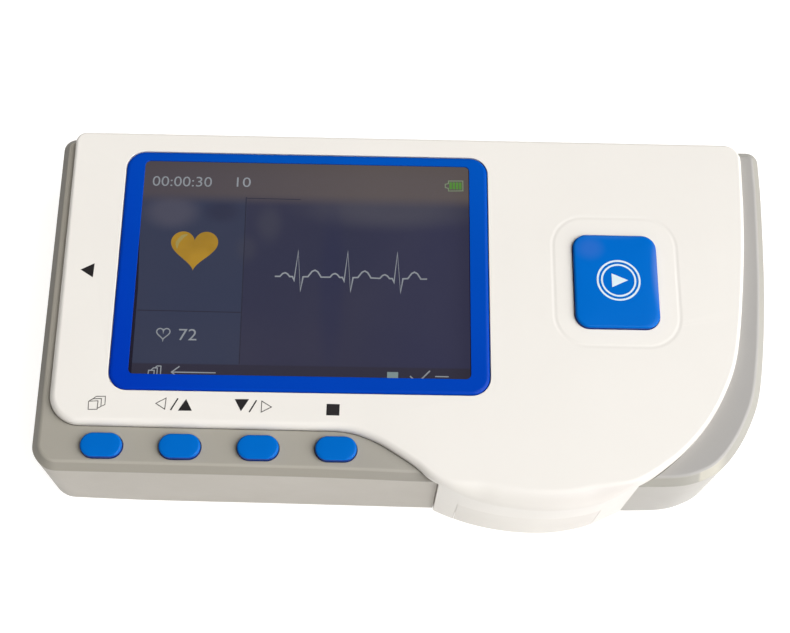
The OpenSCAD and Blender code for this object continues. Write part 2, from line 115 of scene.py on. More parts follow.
def case_outline(k=0.0, n=10, na=2):
    return np.vstack([
        arc((-41.9 + k, 23.7 - k), 2.2 + k, 90, 180, 4 * na),
        arc((-39.7 + k, -31.4 + k), 4.4 + k, 180, 269, 6 * na),
        [[-34, -35.87], [-28, -35.92], [-20, -35.99], [-8, -36.1], [4, -36.26], [12, -36.37], [18, -36.45], [22, -36.5]],
        through([[36, -36.7], [52, -36.8], [58.5, -36.8], [64, -36.5], [67.5, -35.5], [70.5, -33.8], [73.4, -30.6],
                 [76.05, -26.2], [78.15, -20.8], [79.6, -12.5], [80.72, -2], [81.38, 9], [81.75, 19], [81.75, 23]], n),
        arc((79.75 - k, 23.9 - k), 2 + k, 0, 90, 4 * na)])


def cover_outline(k=0.0, n=12, na=2):
    return np.vstack([
        arc((-39.7 + k, 24.2 - k), 1.9 + k, 90, 180, 4 * na),
        arc((-36.4 + k, -23 + k), 5.2 + k, 180, 270, 5 * na),
        through([[0, -28.4], [6, -28.5], [9.5, -29.0], [13, -30.35], [16, -32.1], [19.5, -34.4], belly(22.5, .03),
                 belly(27.5, .52), belly(33, .84), belly(39, 1), belly(44.5, .97), belly(50, .72), belly(54.5, .28),
                 [58, -36.2], [61, -34.1], [64.5, -31.1], [68, -27.2], [71, -22.6], [73.6, -16.9], [75.1, -10.7],
                 [76.4, -1.5], [77.3, 7.5], [77.8, 16], [78, 25]], n),
        arc((74.9 - k, 23 - k), 3.1 + k, 0, 90, 5 * na)])


def smooth(t):
    t = np.clip(t, 0, 1)
    return t * t * (3 - 2 * t)


def front_in(p):
    """How far the front edge of the case draws in at the parting line, left of the belly."""
    return 0.2 * smooth((-31.5 - p[:, 1]) / 3) * smooth((17 - p[:, 0]) / 9)


def back_out(p):
    """How far the front wall leans out at the back, left of the belly."""
    return 0.33 * smooth((-31.5 - p[:, 1]) / 3) * smooth((p[:, 0] + 47) / 24) * smooth((29 - p[:, 0]) / 7)


def lower_curve(p, x0, x1):
    """The part of outline p below y = -20 between x0 and x1, as points of growing x, cut at both ends."""
    q = p[p[:, 1] < -20]
    q = q[np.argsort(q[:, 0])]
    mid = q[(q[:, 0] > x0 + 0.05) & (q[:, 0] < x1 - 0.05)]
    return np.vstack([[x0, np.interp(x0, q[:, 0], q[:, 1])], mid, [x1, np.interp(x1, q[:, 0], q[:, 1])]])


# ------------------------------------------------------------ meshes, in millimetres until finished
def at(p, z):
    p = np.asarray(p, float)
    return np.c_[p, np.broadcast_to(np.asarray(z, float), len(p))]


def raw(name, verts, faces):
    me = bpy.data.meshes.new(name)
    me.from_pydata([tuple(map(float, v)) for v in verts], [], faces)
    me.update()
    ob = bpy.data.objects.new(name, me)
    bpy.context.scene.collection.objects.link(ob)
    return ob


def loft(rings, name="solid"):
    """Closed solid between rings of equal count, lowest first, each counter-clockwise from above."""
    n, m = len(rings[0]), len(rings)
    faces = [list(range(n - 1, -1, -1))]
    for k in range(m - 1):
        for i in range(n):
            j = (i + 1) % n
            faces.append([k * n + i, k * n + j, (k + 1) * n + j, (k + 1) * n + i])
    faces.append([(m - 1) * n + i for i in range(n)])
    return raw(name, np.vstack(rings), faces)


def torus(rings, name="ring"):
    """Closed solid from rings that also close on themselves, the last one back to the first."""
    n, m = len(rings[0]), len(rings)
    faces = []
    for k in range(m):
        for i in range(n):
            j, q = (i + 1) % n, (k + 1) % m
            faces.append([k * n + i, k * n + j, q * n + j, q * n + i])
    return facing_out(raw(name, np.vstack(rings), faces))


def facing_out(ob):
    bm = bmesh.new()
    bm.from_mesh(ob.data)
    bmesh.ops.recalc_face_normals(bm, faces=bm.faces)
    bm.to_mesh(ob.data)
    bm.free()
    return ob


def prism(p, z0, z1):
    return loft([at(p, z0), at(p, z1)])


def block(x0, x1, y0, y1, z0, z1):
    return prism([[x0, y0], [x1, y0], [x1, y1], [x0, y1]], z0, z1)


def rod(c, r, z0, z1, n=48):
    return prism(circle(c, r, n), z0, z1)


def turned(ob, m):
    ob.data.transform(m)
    if m.determinant() < 0:
        ob.data.flip_normals()
    return ob


def along_y(p, y0, y1):
    """Prism of an outline in x and z, between y0 and y1."""
    q = np.asarray(p, float)
    return turned(prism(np.c_[q[:, 0], q[:, 1]], -y1, -y0), Matrix(((1, 0, 0, 0), (0, 0, -1, 0), (0, 1, 0, 0), (0, 0, 0, 1))))


def along_x(p, x0, x1):
    """Prism of an outline in y and z, between x0 and x1."""
    q = np.asarray(p, float)
    return turned(prism(np.c_[q[:, 0], q[:, 1]], x0, x1), Matrix(((0, 0, 1, 0), (1, 0, 0, 0), (0, 1, 0, 0), (0, 0, 0, 1))))


def flared(ring, z0, z1, f, steps=5, up=1.0):
    """Cutter for a hole whose upper edge at z1 gets a small rounding f. ring(d) is its outline grown by d."""
    rings = [at(ring(0), z0)]
    for k in range(steps + 1):
        t = math.radians(90 * k / steps)
        rings.append(at(ring(f * (1 - math.cos(t))), z1 - f + f * math.sin(t)))
    rings.append(at(ring(f), z1 + up))
    return loft(rings)


def flared_down(ring, z0, z1, f, steps=4, down=1.0):
    """As flared, with the rounding at the lower edge z0."""
    rings = [at(ring(f), z0 - down)]
    for k in range(steps + 1):
        t = math.radians(90 * (1 - k / steps))
        rings.append(at(ring(f * (1 - math.cos(t))), z0 + f - f * math.sin(t)))
    rings.append(at(ring(0), z1))
    return loft(rings)


def drop(ob):
    me = ob.data
    bpy.data.objects.remove(ob)
    bpy.data.meshes.remove(me)


def combine(a, b, how="DIFFERENCE", keep=False):
    mod = a.modifiers.new("b", "BOOLEAN")
    mod.object, mod.operation, mod.solver = b, how, "EXACT"
    bpy.context.view_layer.update()
    dg = bpy.context.evaluated_depsgraph_get()
    me = bpy.data.meshes.new_from_object(a.evaluated_get(dg))
    a.modifiers.clear()
    old = a.data
    a.data = me
    bpy.data.meshes.remove(old)
    if not keep:
        drop(b)
    return a


def cut(a, *bs):
    for b in bs:
        combine(a, b)
    return a


def add(a, *bs):
    for b in bs:
        combine(a, b, "UNION")
    return a


def tidy(ob, dist=2e-4):
    bm = bmesh.new()
    bm.from_mesh(ob.data)
    bmesh.ops.remove_doubles(bm, verts=bm.verts, dist=dist)
    bmesh.ops.dissolve_degenerate(bm, edges=bm.edges, dist=dist)
    loose = [v for v in bm.verts if not v.link_faces]
    bmesh.ops.delete(bm, geom=loose, context="VERTS")
    bm.to_mesh(ob.data)
    bad = sum(1 for e in bm.edges if not e.is_manifold)
    bm.free()
    if bad:
        print("open edges", ob.name, bad)
    return ob


def join(name, *obs):
    """Several separate solids as one mesh."""
    bm = bmesh.new()
    for o in obs:
        bm.from_mesh(o.data)
        drop(o)
    me = bpy.data.meshes.new(name)
    bm.to_mesh(me)
    bm.free()
    ob = bpy.data.objects.new(name, me)
    bpy.context.scene.collection.objects.link(ob)
    return ob


def finish_piece(ob, name, body, mat, angle=35, smooth=True, replaces=(), weighted=True, mm=True, flat=None):
    """To metres in the row frame, shading, material and body, and hides the CAD parts it replaces."""
    ob.name = name
    ob.data.name = name
    tidy(ob)
    if mm:
        ob.data.transform(Matrix.Diagonal((0.001, 0.001, 0.001, 1)) @ Matrix.Translation((OX, OY, 0)))
    if smooth:
        ob.data.polygons.foreach_set("use_smooth", [True] * len(ob.data.polygons))
        ob.data.set_sharp_from_angle(angle=math.radians(angle))
        if flat:
            for f in ob.data.polygons:
                if f.area > flat * 1e-6:
                    f.use_smooth = False
    if mat is not None:
        ob.data.materials.clear()
        for m in (mat if isinstance(mat, (list, tuple)) else [mat]):
            ob.data.materials.append(m)
    if weighted and smooth:
        w = ob.modifiers.new("weighted", "WEIGHTED_NORMAL")
        w.keep_sharp = True
        w.weight = 80
    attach(ob, body)
    if replaces:
        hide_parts(*replaces)
    return ob


# ------------------------------------------------------------ materials
class Mat:
    def __init__(self, name):
        self.m = bpy.data.materials.new(name)
        self.m.use_nodes = True
        self.t = self.m.node_tree
        self.t.nodes.clear()
        self.out = self.node("ShaderNodeOutputMaterial")
        self.b = self.node("ShaderNodeBsdfPrincipled")
        self.link(self.b.outputs[0], self.out.inputs["Surface"])
        self.co = self.node("ShaderNodeTexCoord").outputs["Object"]

    def node(self, kind, **values):
        n = self.t.nodes.new(kind)
        for k, v in values.items():
            setattr(n, k, v)
        return n

    def link(self, a, b):
        self.t.links.new(a, b)

    def mapped(self, scale, offset=(0, 0, 0)):
        n = self.node("ShaderNodeMapping")
        n.inputs["Scale"].default_value = scale
        n.inputs["Location"].default_value = offset
        self.link(self.co, n.inputs["Vector"])
        return n.outputs[0]

    def noise(self, scale, detail=2.0, rough=0.5, vec=None, distortion=0.0):
        n = self.node("ShaderNodeTexNoise")
        n.inputs["Scale"].default_value = scale
        n.inputs["Detail"].default_value = detail
        n.inputs["Roughness"].default_value = rough
        n.inputs["Distortion"].default_value = distortion
        self.link(vec or self.co, n.inputs["Vector"])
        return n.outputs["Fac"]

    def ramp(self, fac, *stops, smooth=False):
        n = self.node("ShaderNodeValToRGB")
        n.color_ramp.interpolation = "EASE" if smooth else "LINEAR"
        e = n.color_ramp.elements
        while len(e) < len(stops):
            e.new(0.5)
        for el, (p, c) in zip(e, stops):
            el.position = p
            el.color = (*c, 1) if hasattr(c, "__len__") else (c, c, c, 1)
        self.link(fac, n.inputs["Fac"])
        return n.outputs["Color"]

    def mix(self, fac, a, b, mode="MIX"):
        n = self.node("ShaderNodeMix", data_type="RGBA", blend_type=mode)
        for key, v in ((0, fac), (6, a), (7, b)):
            if hasattr(v, "is_output"):
                self.link(v, n.inputs[key])
            else:
                n.inputs[key].default_value = v if key == 0 else (*v, 1)
        return n.outputs[2]

    def math(self, op, a, b=0.0, clamp=False):
        n = self.node("ShaderNodeMath", operation=op, use_clamp=clamp)
        for i, v in enumerate((a, b)):
            if hasattr(v, "is_output"):
                self.link(v, n.inputs[i])
            else:
                n.inputs[i].default_value = v
        return n.outputs[0]

    def bump(self, height, distance, strength=1.0, prior=None):
        n = self.node("ShaderNodeBump")
        n.inputs["Distance"].default_value = distance
        n.inputs["Strength"].default_value = strength
        self.link(height, n.inputs["Height"])
        if prior is not None:
            self.link(prior, n.inputs["Normal"])
        return n.outputs[0]

    def set(self, **values):
        for k, v in values.items():
            s = self.b.inputs[k.replace("_", " ")]
            if hasattr(v, "is_output"):
                self.link(v, s)
            else:
                s.default_value = v if not hasattr(v, "__len__") else (*v, 1)
        return self


def shade(c, k):
    return tuple(min(1, x * k) for x in c)


def plastic(name, colour, rough=0.35, spread=0.05, vary=0.02, peel=1.0, grain=0.0, specular=0.5, grain_scale=4200,
            coat=0.0, pale_edges=0.0, painted_light_right=None, rim=None, tone_and_light_ramps=(), painted_sheen=(), painted_shoulder_shade=None):
    """Moulded plastic: slow colour drift, patchy gloss from handling, orange peel, fine texture."""
    m = Mat(name)
    drift = m.noise(28, 3, 0.55)
    fine = m.noise(1400, 2, 0.6)
    c = m.ramp(drift, (0.3, shade(colour, 1 - vary)), (0.7, shade(colour, 1 + vary)))
    c = m.mix(m.ramp(fine, (0.35, 0.0), (0.75, 0.35 * vary / 0.02 * 0.2)), c, shade(colour, 0.93))
    if painted_light_right:
        # painted light: the colour grows paler and cooler towards the right end, where the light falls
        sep = m.node("ShaderNodeSeparateXYZ")
        m.link(m.co, sep.inputs[0])
        along = m.math("MULTIPLY", m.math("ADD", sep.outputs["X"], 0.015), 16.0, True)
        c = m.mix(along, c, painted_light_right, "MULTIPLY")
    for (xa, ya, ca), (xb, yb, cb) in tone_and_light_ramps:
        # slow change of tone between two places, given in the drawing frame; on the case it is painted light
        sep = m.node("ShaderNodeSeparateXYZ")
        m.link(m.co, sep.inputs[0])
        k = 1000 / ((xb - xa) ** 2 + (yb - ya) ** 2)
        u = m.math("MULTIPLY", m.math("SUBTRACT", sep.outputs["X"], (xa + OX) / 1000), (xb - xa) * k)
        v = m.math("MULTIPLY", m.math("SUBTRACT", sep.outputs["Y"], (ya + OY) / 1000), (yb - ya) * k)
        c = m.mix(1.0, c, m.mix(m.math("ADD", u, v, True), ca, cb), "MULTIPLY")
    if painted_shoulder_shade:
        # painted shade: the belly's shoulder and wall, below the face, are darkened more and more towards their right
        # end, dimming the highlight there
        xa, xb, tone = painted_shoulder_shade
        sep = m.node("ShaderNodeSeparateXYZ")
        m.link(m.co, sep.inputs[0])
        u = m.math("MULTIPLY", m.math("SUBTRACT", sep.outputs["X"], (xa + OX) / 1000), 1000 / (xb - xa), True)
        edge = m.math("MULTIPLY", m.math("SUBTRACT", 0.020496, sep.outputs["Z"]), 5000.0, True)
        front = m.math("MULTIPLY", m.math("SUBTRACT", (-16 + OY) / 1000, sep.outputs["Y"]), 120.0, True)
        c = m.mix(m.math("MULTIPLY", u, m.math("MULTIPLY", edge, front)), c, tone, "MULTIPLY")
    for x, y, rx, ry, amount, tone in painted_sheen:
        # a faint painted sheen: a reflection painted into the colour as an upright oval in the drawing frame
        sep = m.node("ShaderNodeSeparateXYZ")
        m.link(m.co, sep.inputs[0])
        dx = m.math("MULTIPLY", m.math("SUBTRACT", sep.outputs["X"], (x + OX) / 1000), 1000 / rx)
        dy = m.math("MULTIPLY", m.math("SUBTRACT", sep.outputs["Y"], (y + OY) / 1000), 1000 / ry)
        q = m.math("SQRT", m.math("ADD", m.math("MULTIPLY", dx, dx), m.math("MULTIPLY", dy, dy)))
        c = m.mix(m.ramp(q, (0.2, amount), (1.0, 0.0), smooth=True), c, tone)
    if rim:
        # painted light and shade: a painted highlight along the rim's upper edge, where its rounding meets the deck,
        # and slight painted shade on the slope below it
        sep = m.node("ShaderNodeSeparateXYZ")
        m.link(m.co, sep.inputs[0])
        up = m.math("MULTIPLY", m.math("SUBTRACT", m.math("MULTIPLY", sep.outputs["Z"], 1000), rim - 0.4), 2.0, True)
        c = m.mix(1.0, c, m.ramp(up, (0.0, 0.95), (0.28, 0.95), (0.42, 1.12), (0.72, 1.12), (0.79, 1.0)), "MULTIPLY")
        x, y = sep.outputs["X"], sep.outputs["Y"]
        slope = m.math("MULTIPLY", m.math("SUBTRACT", rim - 0.12, m.math("MULTIPLY", sep.outputs["Z"], 1000)), 8.0, True)
        # painted light and shade on the sloping edge: lit warmer at the right and brighter towards its lower right,
        # with a painted glint at its lower right corner; at the left the slope gets painted shade and the deck strip
        # above it painted light
        right = m.math("MULTIPLY", slope, m.math("MULTIPLY", m.math("SUBTRACT", x, 0.012), 30.0, True))
        low = m.math("MULTIPLY", m.math("SUBTRACT", 0.0125, y), 66.0, True)
        c = m.mix(right, c, m.mix(low, (0.985, 0.975, 0.90), (1.10, 1.10, 1.03)), "MULTIPLY")
        painted_glint = m.math("MULTIPLY", m.math("MULTIPLY", m.math("SUBTRACT", x, 0.0477), 2500.0, True),
                      m.math("MULTIPLY", m.math("SUBTRACT", 0.0528, x), 500.0, True))
        c = m.mix(m.math("MULTIPLY", painted_glint, slope), c, (1.34, 1.32, 1.26), "MULTIPLY")
        left = m.math("MULTIPLY", m.math("MULTIPLY", m.math("SUBTRACT", -0.0575, x), 700.0, True),
                      m.math("MULTIPLY", m.math("ADD", y, 0.0185), 120.0, True))
        c = m.mix(left, c, m.mix(slope, (1.22, 1.21, 1.20), (0.76, 0.755, 0.76)), "MULTIPLY")
    smudge = m.noise(95, 5, 0.62, distortion=0.6)
    r = m.ramp(smudge, (0.35, rough - spread), (0.72, rough + spread))
    if pale_edges:
        # convex edges, found by pointiness, are paler
        edge = m.node("ShaderNodeNewGeometry").outputs["Pointiness"]
        c = m.mix(m.ramp(edge, (0.5, 0.0), (0.56, pale_edges)), c, shade(colour, 1.12))
    h = m.noise(620, 2, 0.5)
    n = m.bump(h, 0.000012 * peel, 1.0)
    if grain:
        g = m.noise(grain_scale, 3, 0.7)
        n = m.bump(g, 0.00002 * grain, 1.0, n)
    m.set(Base_Color=c, Roughness=r, Normal=n)
    m.b.inputs["Specular IOR Level"].default_value = specular
    if coat:
        m.b.inputs["Coat Weight"].default_value = coat
        m.b.inputs["Coat Roughness"].default_value = 0.06
    return m.m


def metal(name, colour, rough=0.3, along=(1, 60, 1), scale=900, bump=1.0, spread=0.08):
    """Sheet metal with a drawn or brushed grain across `along`."""
    m = Mat(name)
    v = m.mapped(along)
    streak = m.noise(scale, 4, 0.65, vec=v)
    blot = m.noise(160, 4, 0.6)
    c = m.ramp(streak, (0.3, shade(colour, 0.86)), (0.7, shade(colour, 1.08)))
    c = m.mix(m.ramp(blot, (0.4, 0.0), (0.8, 0.25)), c, shade(colour, 0.8))
    r = m.ramp(m.math("ADD", m.math("MULTIPLY", streak, 0.6), m.math("MULTIPLY", blot, 0.4)),
               (0.3, rough - spread), (0.7, rough + spread))
    m.set(Base_Color=c, Metallic=1.0, Roughness=r, Normal=m.bump(streak, 0.000012 * bump, 1.0))
    return m.m


def board_mat(name):
    """Green solder mask with the faint raised lines of tracks under it."""
    m = Mat(name)
    v = m.mapped((1, 1, 1))
    t = m.node("ShaderNodeTexBrick")
    t.inputs["Scale"].default_value = 260
    t.inputs["Color1"].default_value = (1, 1, 1, 1)
    t.inputs["Color2"].default_value = (0.8, 0.8, 0.8, 1)
    t.inputs["Mortar"].default_value = (0, 0, 0, 1)
    t.inputs["Mortar Size"].default_value = 0.04
    m.link(v, t.inputs["Vector"])
    f = m.noise(900, 3, 0.6)
    c = m.mix(m.math("MULTIPLY", f, 0.5), (0.012, 0.13, 0.055), (0.02, 0.2, 0.085))
    c = m.mix(m.math("MULTIPLY", t.outputs["Fac"], 0.6), c, (0.03, 0.28, 0.12))
    m.set(Base_Color=c, Roughness=m.ramp(f, (0.3, 0.28), (0.7, 0.42)), Normal=m.bump(t.outputs["Fac"], 0.00003, 0.7))
    return m.m


WHITE = (0.80, 0.763, 0.706)
GREY_DECK = (0.336, 0.313, 0.266)
GREY_CASE = (0.423, 0.392, 0.345)
BLUE_RIM = (0.0004, 0.062, 0.42)
BLUE_KEY = (0.0004, 0.126, 0.50)

M = {
    # painted shade on the belly's shoulder and wall, deeper towards their right end
    "cover": plastic("cover_plastic", WHITE, 0.34, 0.05, 0.012, 0.9, 0.12, pale_edges=0.25,
                     painted_shoulder_shade=(34, 52, (0.85, 0.835, 0.845))),
    # painted light and shade on the deck: paler and cooler to the right, a painted highlight along its rim, painted
    # shade and light on its slopes
    "deck": plastic("deck_plastic", GREY_DECK, 0.46, 0.05, 0.03, 0.8, 0.7, 0.35, pale_edges=0.25, painted_light_right=(1.06, 1.09, 1.22), rim=19.0),
    # painted light: the case grows paler and cooler towards its right end, where the light falls
    "case": plastic("case_plastic", GREY_CASE, 0.46, 0.05, 0.03, 0.8, 0.7, 0.35, pale_edges=0.25,
                    tone_and_light_ramps=(((34, 0, (1, 1, 1)), (60, 0, (1.11, 1.15, 1.22))),)),
    # the rim's blue grows greener from its bottom to its top and is darker towards its left end
    "rim": plastic("rim_blue", BLUE_RIM, 0.15, 0.03, 0.05, 0.5, 0.0, 0.07,
                   tone_and_light_ramps=(((0, -22, (1, 0.76, 0.98)), (0, 22, (1, 1.20, 1.0))), ((-31, 0, (1, 0.70, 0.98)), (-8, 0, (1, 1, 1))))),
    "key": plastic("key_blue_face", BLUE_KEY, 0.18, 0.03, 0.04, 0.7, 0.0, 0.08),
    # painted sheen on the start key: pale ovals at its upper left, along its top edge and down its right edge
    "start": plastic("start_blue_face", (0.0002, 0.131, 0.53), 0.20, 0.03, 0.04, 0.7, 0.0, 0.055,
                     painted_sheen=((49.7, 4.7, 3.3, 2.9, 0.036, (0.54, 0.27, 0.46)), (53.5, 7.8, 8.5, 1.7, 0.05, (0.42, 0.42, 0.60)),
                           (61.6, 0.3, 1.7, 8.8, 0.10, (0.66, 0.44, 0.36)))),
    # painted shade: a dark navy copy of the key blue for the keys' shaded sides
    "key_painted_shade": plastic("key_blue_painted_shade", (0.002, 0.040, 0.28), 0.34, 0.05, 0.08, 0.7, 0.2, 0.15),
    "ink": plastic("ink_black", (0.012, 0.0095, 0.010), 0.5, 0.05, 0.2, 0.4, 0.3, 0.3),
    "ink_thin": plastic("ink_thin", (0.075, 0.068, 0.062), 0.5, 0.05, 0.2, 0.4, 0.3, 0.3),
    "ink_white": plastic("ink_white", (0.66, 0.76, 0.80), 0.4, 0.05, 0.03, 0.4, 0.2, 0.3),
    # painted shade on the flap, deeper towards its right end
    "flap": plastic("flap_soft", (0.795, 0.757, 0.699), 0.44, 0.05, 0.012, 0.8, 0.3, 0.4,
                    painted_shoulder_shade=(41, 52.5, (0.83, 0.81, 0.82))),
    "steel": metal("touch_steel", (0.60, 0.60, 0.59), 0.27, (1, 70, 70), 700),
    "tin": metal("tin_sheet", (0.58, 0.585, 0.59), 0.33, (60, 1, 60), 700, 0.6),
    "nickel": metal("nickel_sheet", (0.62, 0.60, 0.56), 0.26, (40, 1, 40), 800, 0.5),
    "gold": metal("gold_plate", (0.80, 0.58, 0.22), 0.25, (1, 40, 1), 800, 0.4),
    "screw": metal("screw_zinc", (0.50, 0.51, 0.52), 0.34, (30, 30, 1), 900, 0.7),
    "foam": plastic("foam_black_cell", (0.012, 0.012, 0.014), 0.9, 0.05, 0.25, 1.0, 3.0, 0.1, 2400),
    "mask": plastic("display_mask", (0.016, 0.013, 0.026), 0.22, 0.04, 0.2, 0.2, 0.0, 0.2),
    "diffuser": plastic("backlight_film", (0.82, 0.82, 0.80), 0.55, 0.05, 0.02, 0.2, 0.3, 0.4),
    "flex": plastic("flex_film", (0.52, 0.24, 0.04), 0.28, 0.05, 0.08, 0.3, 0.0, 0.5),
    "ivory": plastic("connector_plastic", (0.72, 0.68, 0.56), 0.45, 0.05, 0.03, 0.5, 0.5, 0.4),
    "black": plastic("black_plastic", (0.018, 0.018, 0.020), 0.42, 0.06, 0.15, 0.6, 1.0, 0.4),
    "ceramic": plastic("capacitor_body", (0.42, 0.26, 0.13), 0.5, 0.05, 0.06, 0.5, 0.8, 0.4),
    "board": board_mat("board_mask"),
    "sleeve": plastic("cell_sleeve_wrap", (0.045, 0.16, 0.14), 0.22, 0.05, 0.05, 0.4, 0.0, 0.5),
    "sleeve_band": plastic("cell_band_wrap", (0.55, 0.36, 0.12), 0.24, 0.05, 0.05, 0.4, 0.0, 0.5),
}


def picture_mat():
    """The lit display: dark slate blue, a brownish bar above and below, and slow pale and dark patches in its glow that
    are painted reflections of the room in the pane.
    """
    m = Mat("display_picture")
    sep = m.node("ShaderNodeSeparateXYZ")
    m.link(m.co, sep.inputs[0])
    x = m.math("ADD", m.math("MULTIPLY", sep.outputs["X"], 1000), -OX)
    y = m.math("ADD", m.math("MULTIPLY", sep.outputs["Y"], 1000), -OY)
    cloud = m.noise(52, 2, 0.4, distortion=0.3)
    cloud2 = m.noise(24, 2, 0.5, vec=m.mapped((1, 1.7, 1), (0.31, 0.12, 0)))

    def patch(cx, cy, rx, ry, soft=0.6):
        """1 in the middle of an upright oval, 0 outside it."""
        dx = m.math("MULTIPLY", m.math("SUBTRACT", x, cx), 1 / rx)
        dy = m.math("MULTIPLY", m.math("SUBTRACT", y, cy), 1 / ry)
        r = m.math("SQRT", m.math("ADD", m.math("MULTIPLY", dx, dx), m.math("MULTIPLY", dy, dy)))
        return m.ramp(r, (1 - soft, 1.0), (1.0, 0.0), smooth=True)

    body = m.ramp(cloud2, (0.32, (0.0325, 0.0335, 0.0640)), (0.68, (0.0385, 0.0360, 0.0640)))
    right = m.math("MULTIPLY", m.math("SUBTRACT", x, 8.0), 0.06, True)
    body = m.mix(right, body, (0.0345, 0.0335, 0.0700))
    left = m.math("MULTIPLY", m.math("SUBTRACT", -10.6, x), 4.0, True)
    body = m.mix(left, body, (0.0370, 0.0440, 0.0790))
    # painted reflections: the pale and dark patches and the pale cloud below paint the room's reflection in the pane
    # into the glow
    body = m.mix(m.math("MULTIPLY", patch(15, 13.4, 20, 5.2, 0.75), 0.9), body, (0.074, 0.070, 0.090))
    body = m.mix(m.math("MULTIPLY", patch(-24, 12.2, 6.5, 4.6, 0.7), 0.8), body, (0.088, 0.084, 0.112))
    body = m.mix(m.math("MULTIPLY", patch(-15.0, 12.4, 4.6, 3.2, 0.8), 0.5), body, (0.022, 0.021, 0.045))
    body = m.mix(m.math("MULTIPLY", patch(-6.6, 10.2, 3.2, 5.0, 0.8), 0.5), body, (0.066, 0.064, 0.084))
    body = m.mix(m.math("MULTIPLY", patch(-10.4, 5.2, 2.6, 3.6, 0.8), 0.4), body, (0.062, 0.060, 0.078))
    body = m.mix(m.math("MULTIPLY", patch(4.8, -2.0, 3.2, 21, 0.75), 0.5), body, (0.0255, 0.0270, 0.0660))
    body = m.mix(m.ramp(cloud, (0.42, 0.0), (0.8, 0.28)), body, (0.056, 0.054, 0.076))
    bar_t = m.ramp(m.math("MULTIPLY", m.math("SUBTRACT", y, 13.3), 0.34, True), (0.0, 0.0), (1.0, 1.0), smooth=True)
    bar_b = m.math("MULTIPLY", m.math("SUBTRACT", -16.35, y), 4.0, True)
    along = m.math("MULTIPLY", m.math("ADD", x, 28.0), 0.025, True)
    c = m.mix(bar_t, body, m.mix(along, (0.0830, 0.0680, 0.0740), (0.1200, 0.0960, 0.0880)))
    c = m.mix(bar_b, c, (0.0320, 0.0280, 0.0440))
    m.set(Base_Color=(0.006, 0.006, 0.010), Roughness=m.ramp(cloud, (0.3, 0.30), (0.7, 0.42)), Emission_Color=c)
    m.b.inputs["Emission Strength"].default_value = 0.92
    m.b.inputs["Specular IOR Level"].default_value = 0.05
    return m.m


def glow(name, colour, vary=0.12):
    """A lit mark on the display."""
    m = Mat(name)
    f = m.noise(160, 2, 0.5)
    m.set(Base_Color=(0.01, 0.01, 0.01), Roughness=m.ramp(f, (0.3, 0.3), (0.7, 0.4)),
          Emission_Color=m.ramp(f, (0.3, shade(colour, 1 - vary)), (0.7, shade(colour, 1 + vary))))
    m.b.inputs["Emission Strength"].default_value = 1.0
    m.b.inputs["Specular IOR Level"].default_value = 0.1
    return m.m


def pane_mat():
    """Clear acrylic: see-through, with a gloss that grows at flat angles and a few faint smudges."""
    m = Mat("pane_acrylic")
    m.t.nodes.remove(m.b)
    clear = m.node("ShaderNodeBsdfTransparent")
    clear.inputs["Color"].default_value = (0.97, 0.98, 1.0, 1)
    gloss = m.node("ShaderNodeBsdfAnisotropic")
    smudge = m.noise(70, 4, 0.6, distortion=0.8)
    m.link(m.ramp(smudge, (0.4, 0.05), (0.75, 0.14)), gloss.inputs["Roughness"])
    m.link(m.bump(m.noise(40, 1, 0.4), 0.00002, 0.5), gloss.inputs["Normal"])
    fr = m.node("ShaderNodeFresnel")
    fr.inputs["IOR"].default_value = 1.55
    mix = m.node("ShaderNodeMixShader")
    inside = m.node("ShaderNodeNewGeometry").outputs["Backfacing"]
    m.link(m.math("MULTIPLY", fr.outputs[0], m.math("SUBTRACT", 1.0, inside)), mix.inputs["Fac"])
    m.link(clear.outputs[0], mix.inputs[1])
    m.link(gloss.outputs[0], mix.inputs[2])
    m.link(mix.outputs[0], m.out.inputs["Surface"])
    return m.m


# ------------------------------------------------------------ white cover
COVER = cover_outline()
BELLY_X = (23.4, 56.47)


def belly_part(p):
    return np.where(p[:, 1] < -30, smooth((p[:, 0] - 23.0) / 8) * smooth((57.0 - p[:, 0]) / 8), 0)


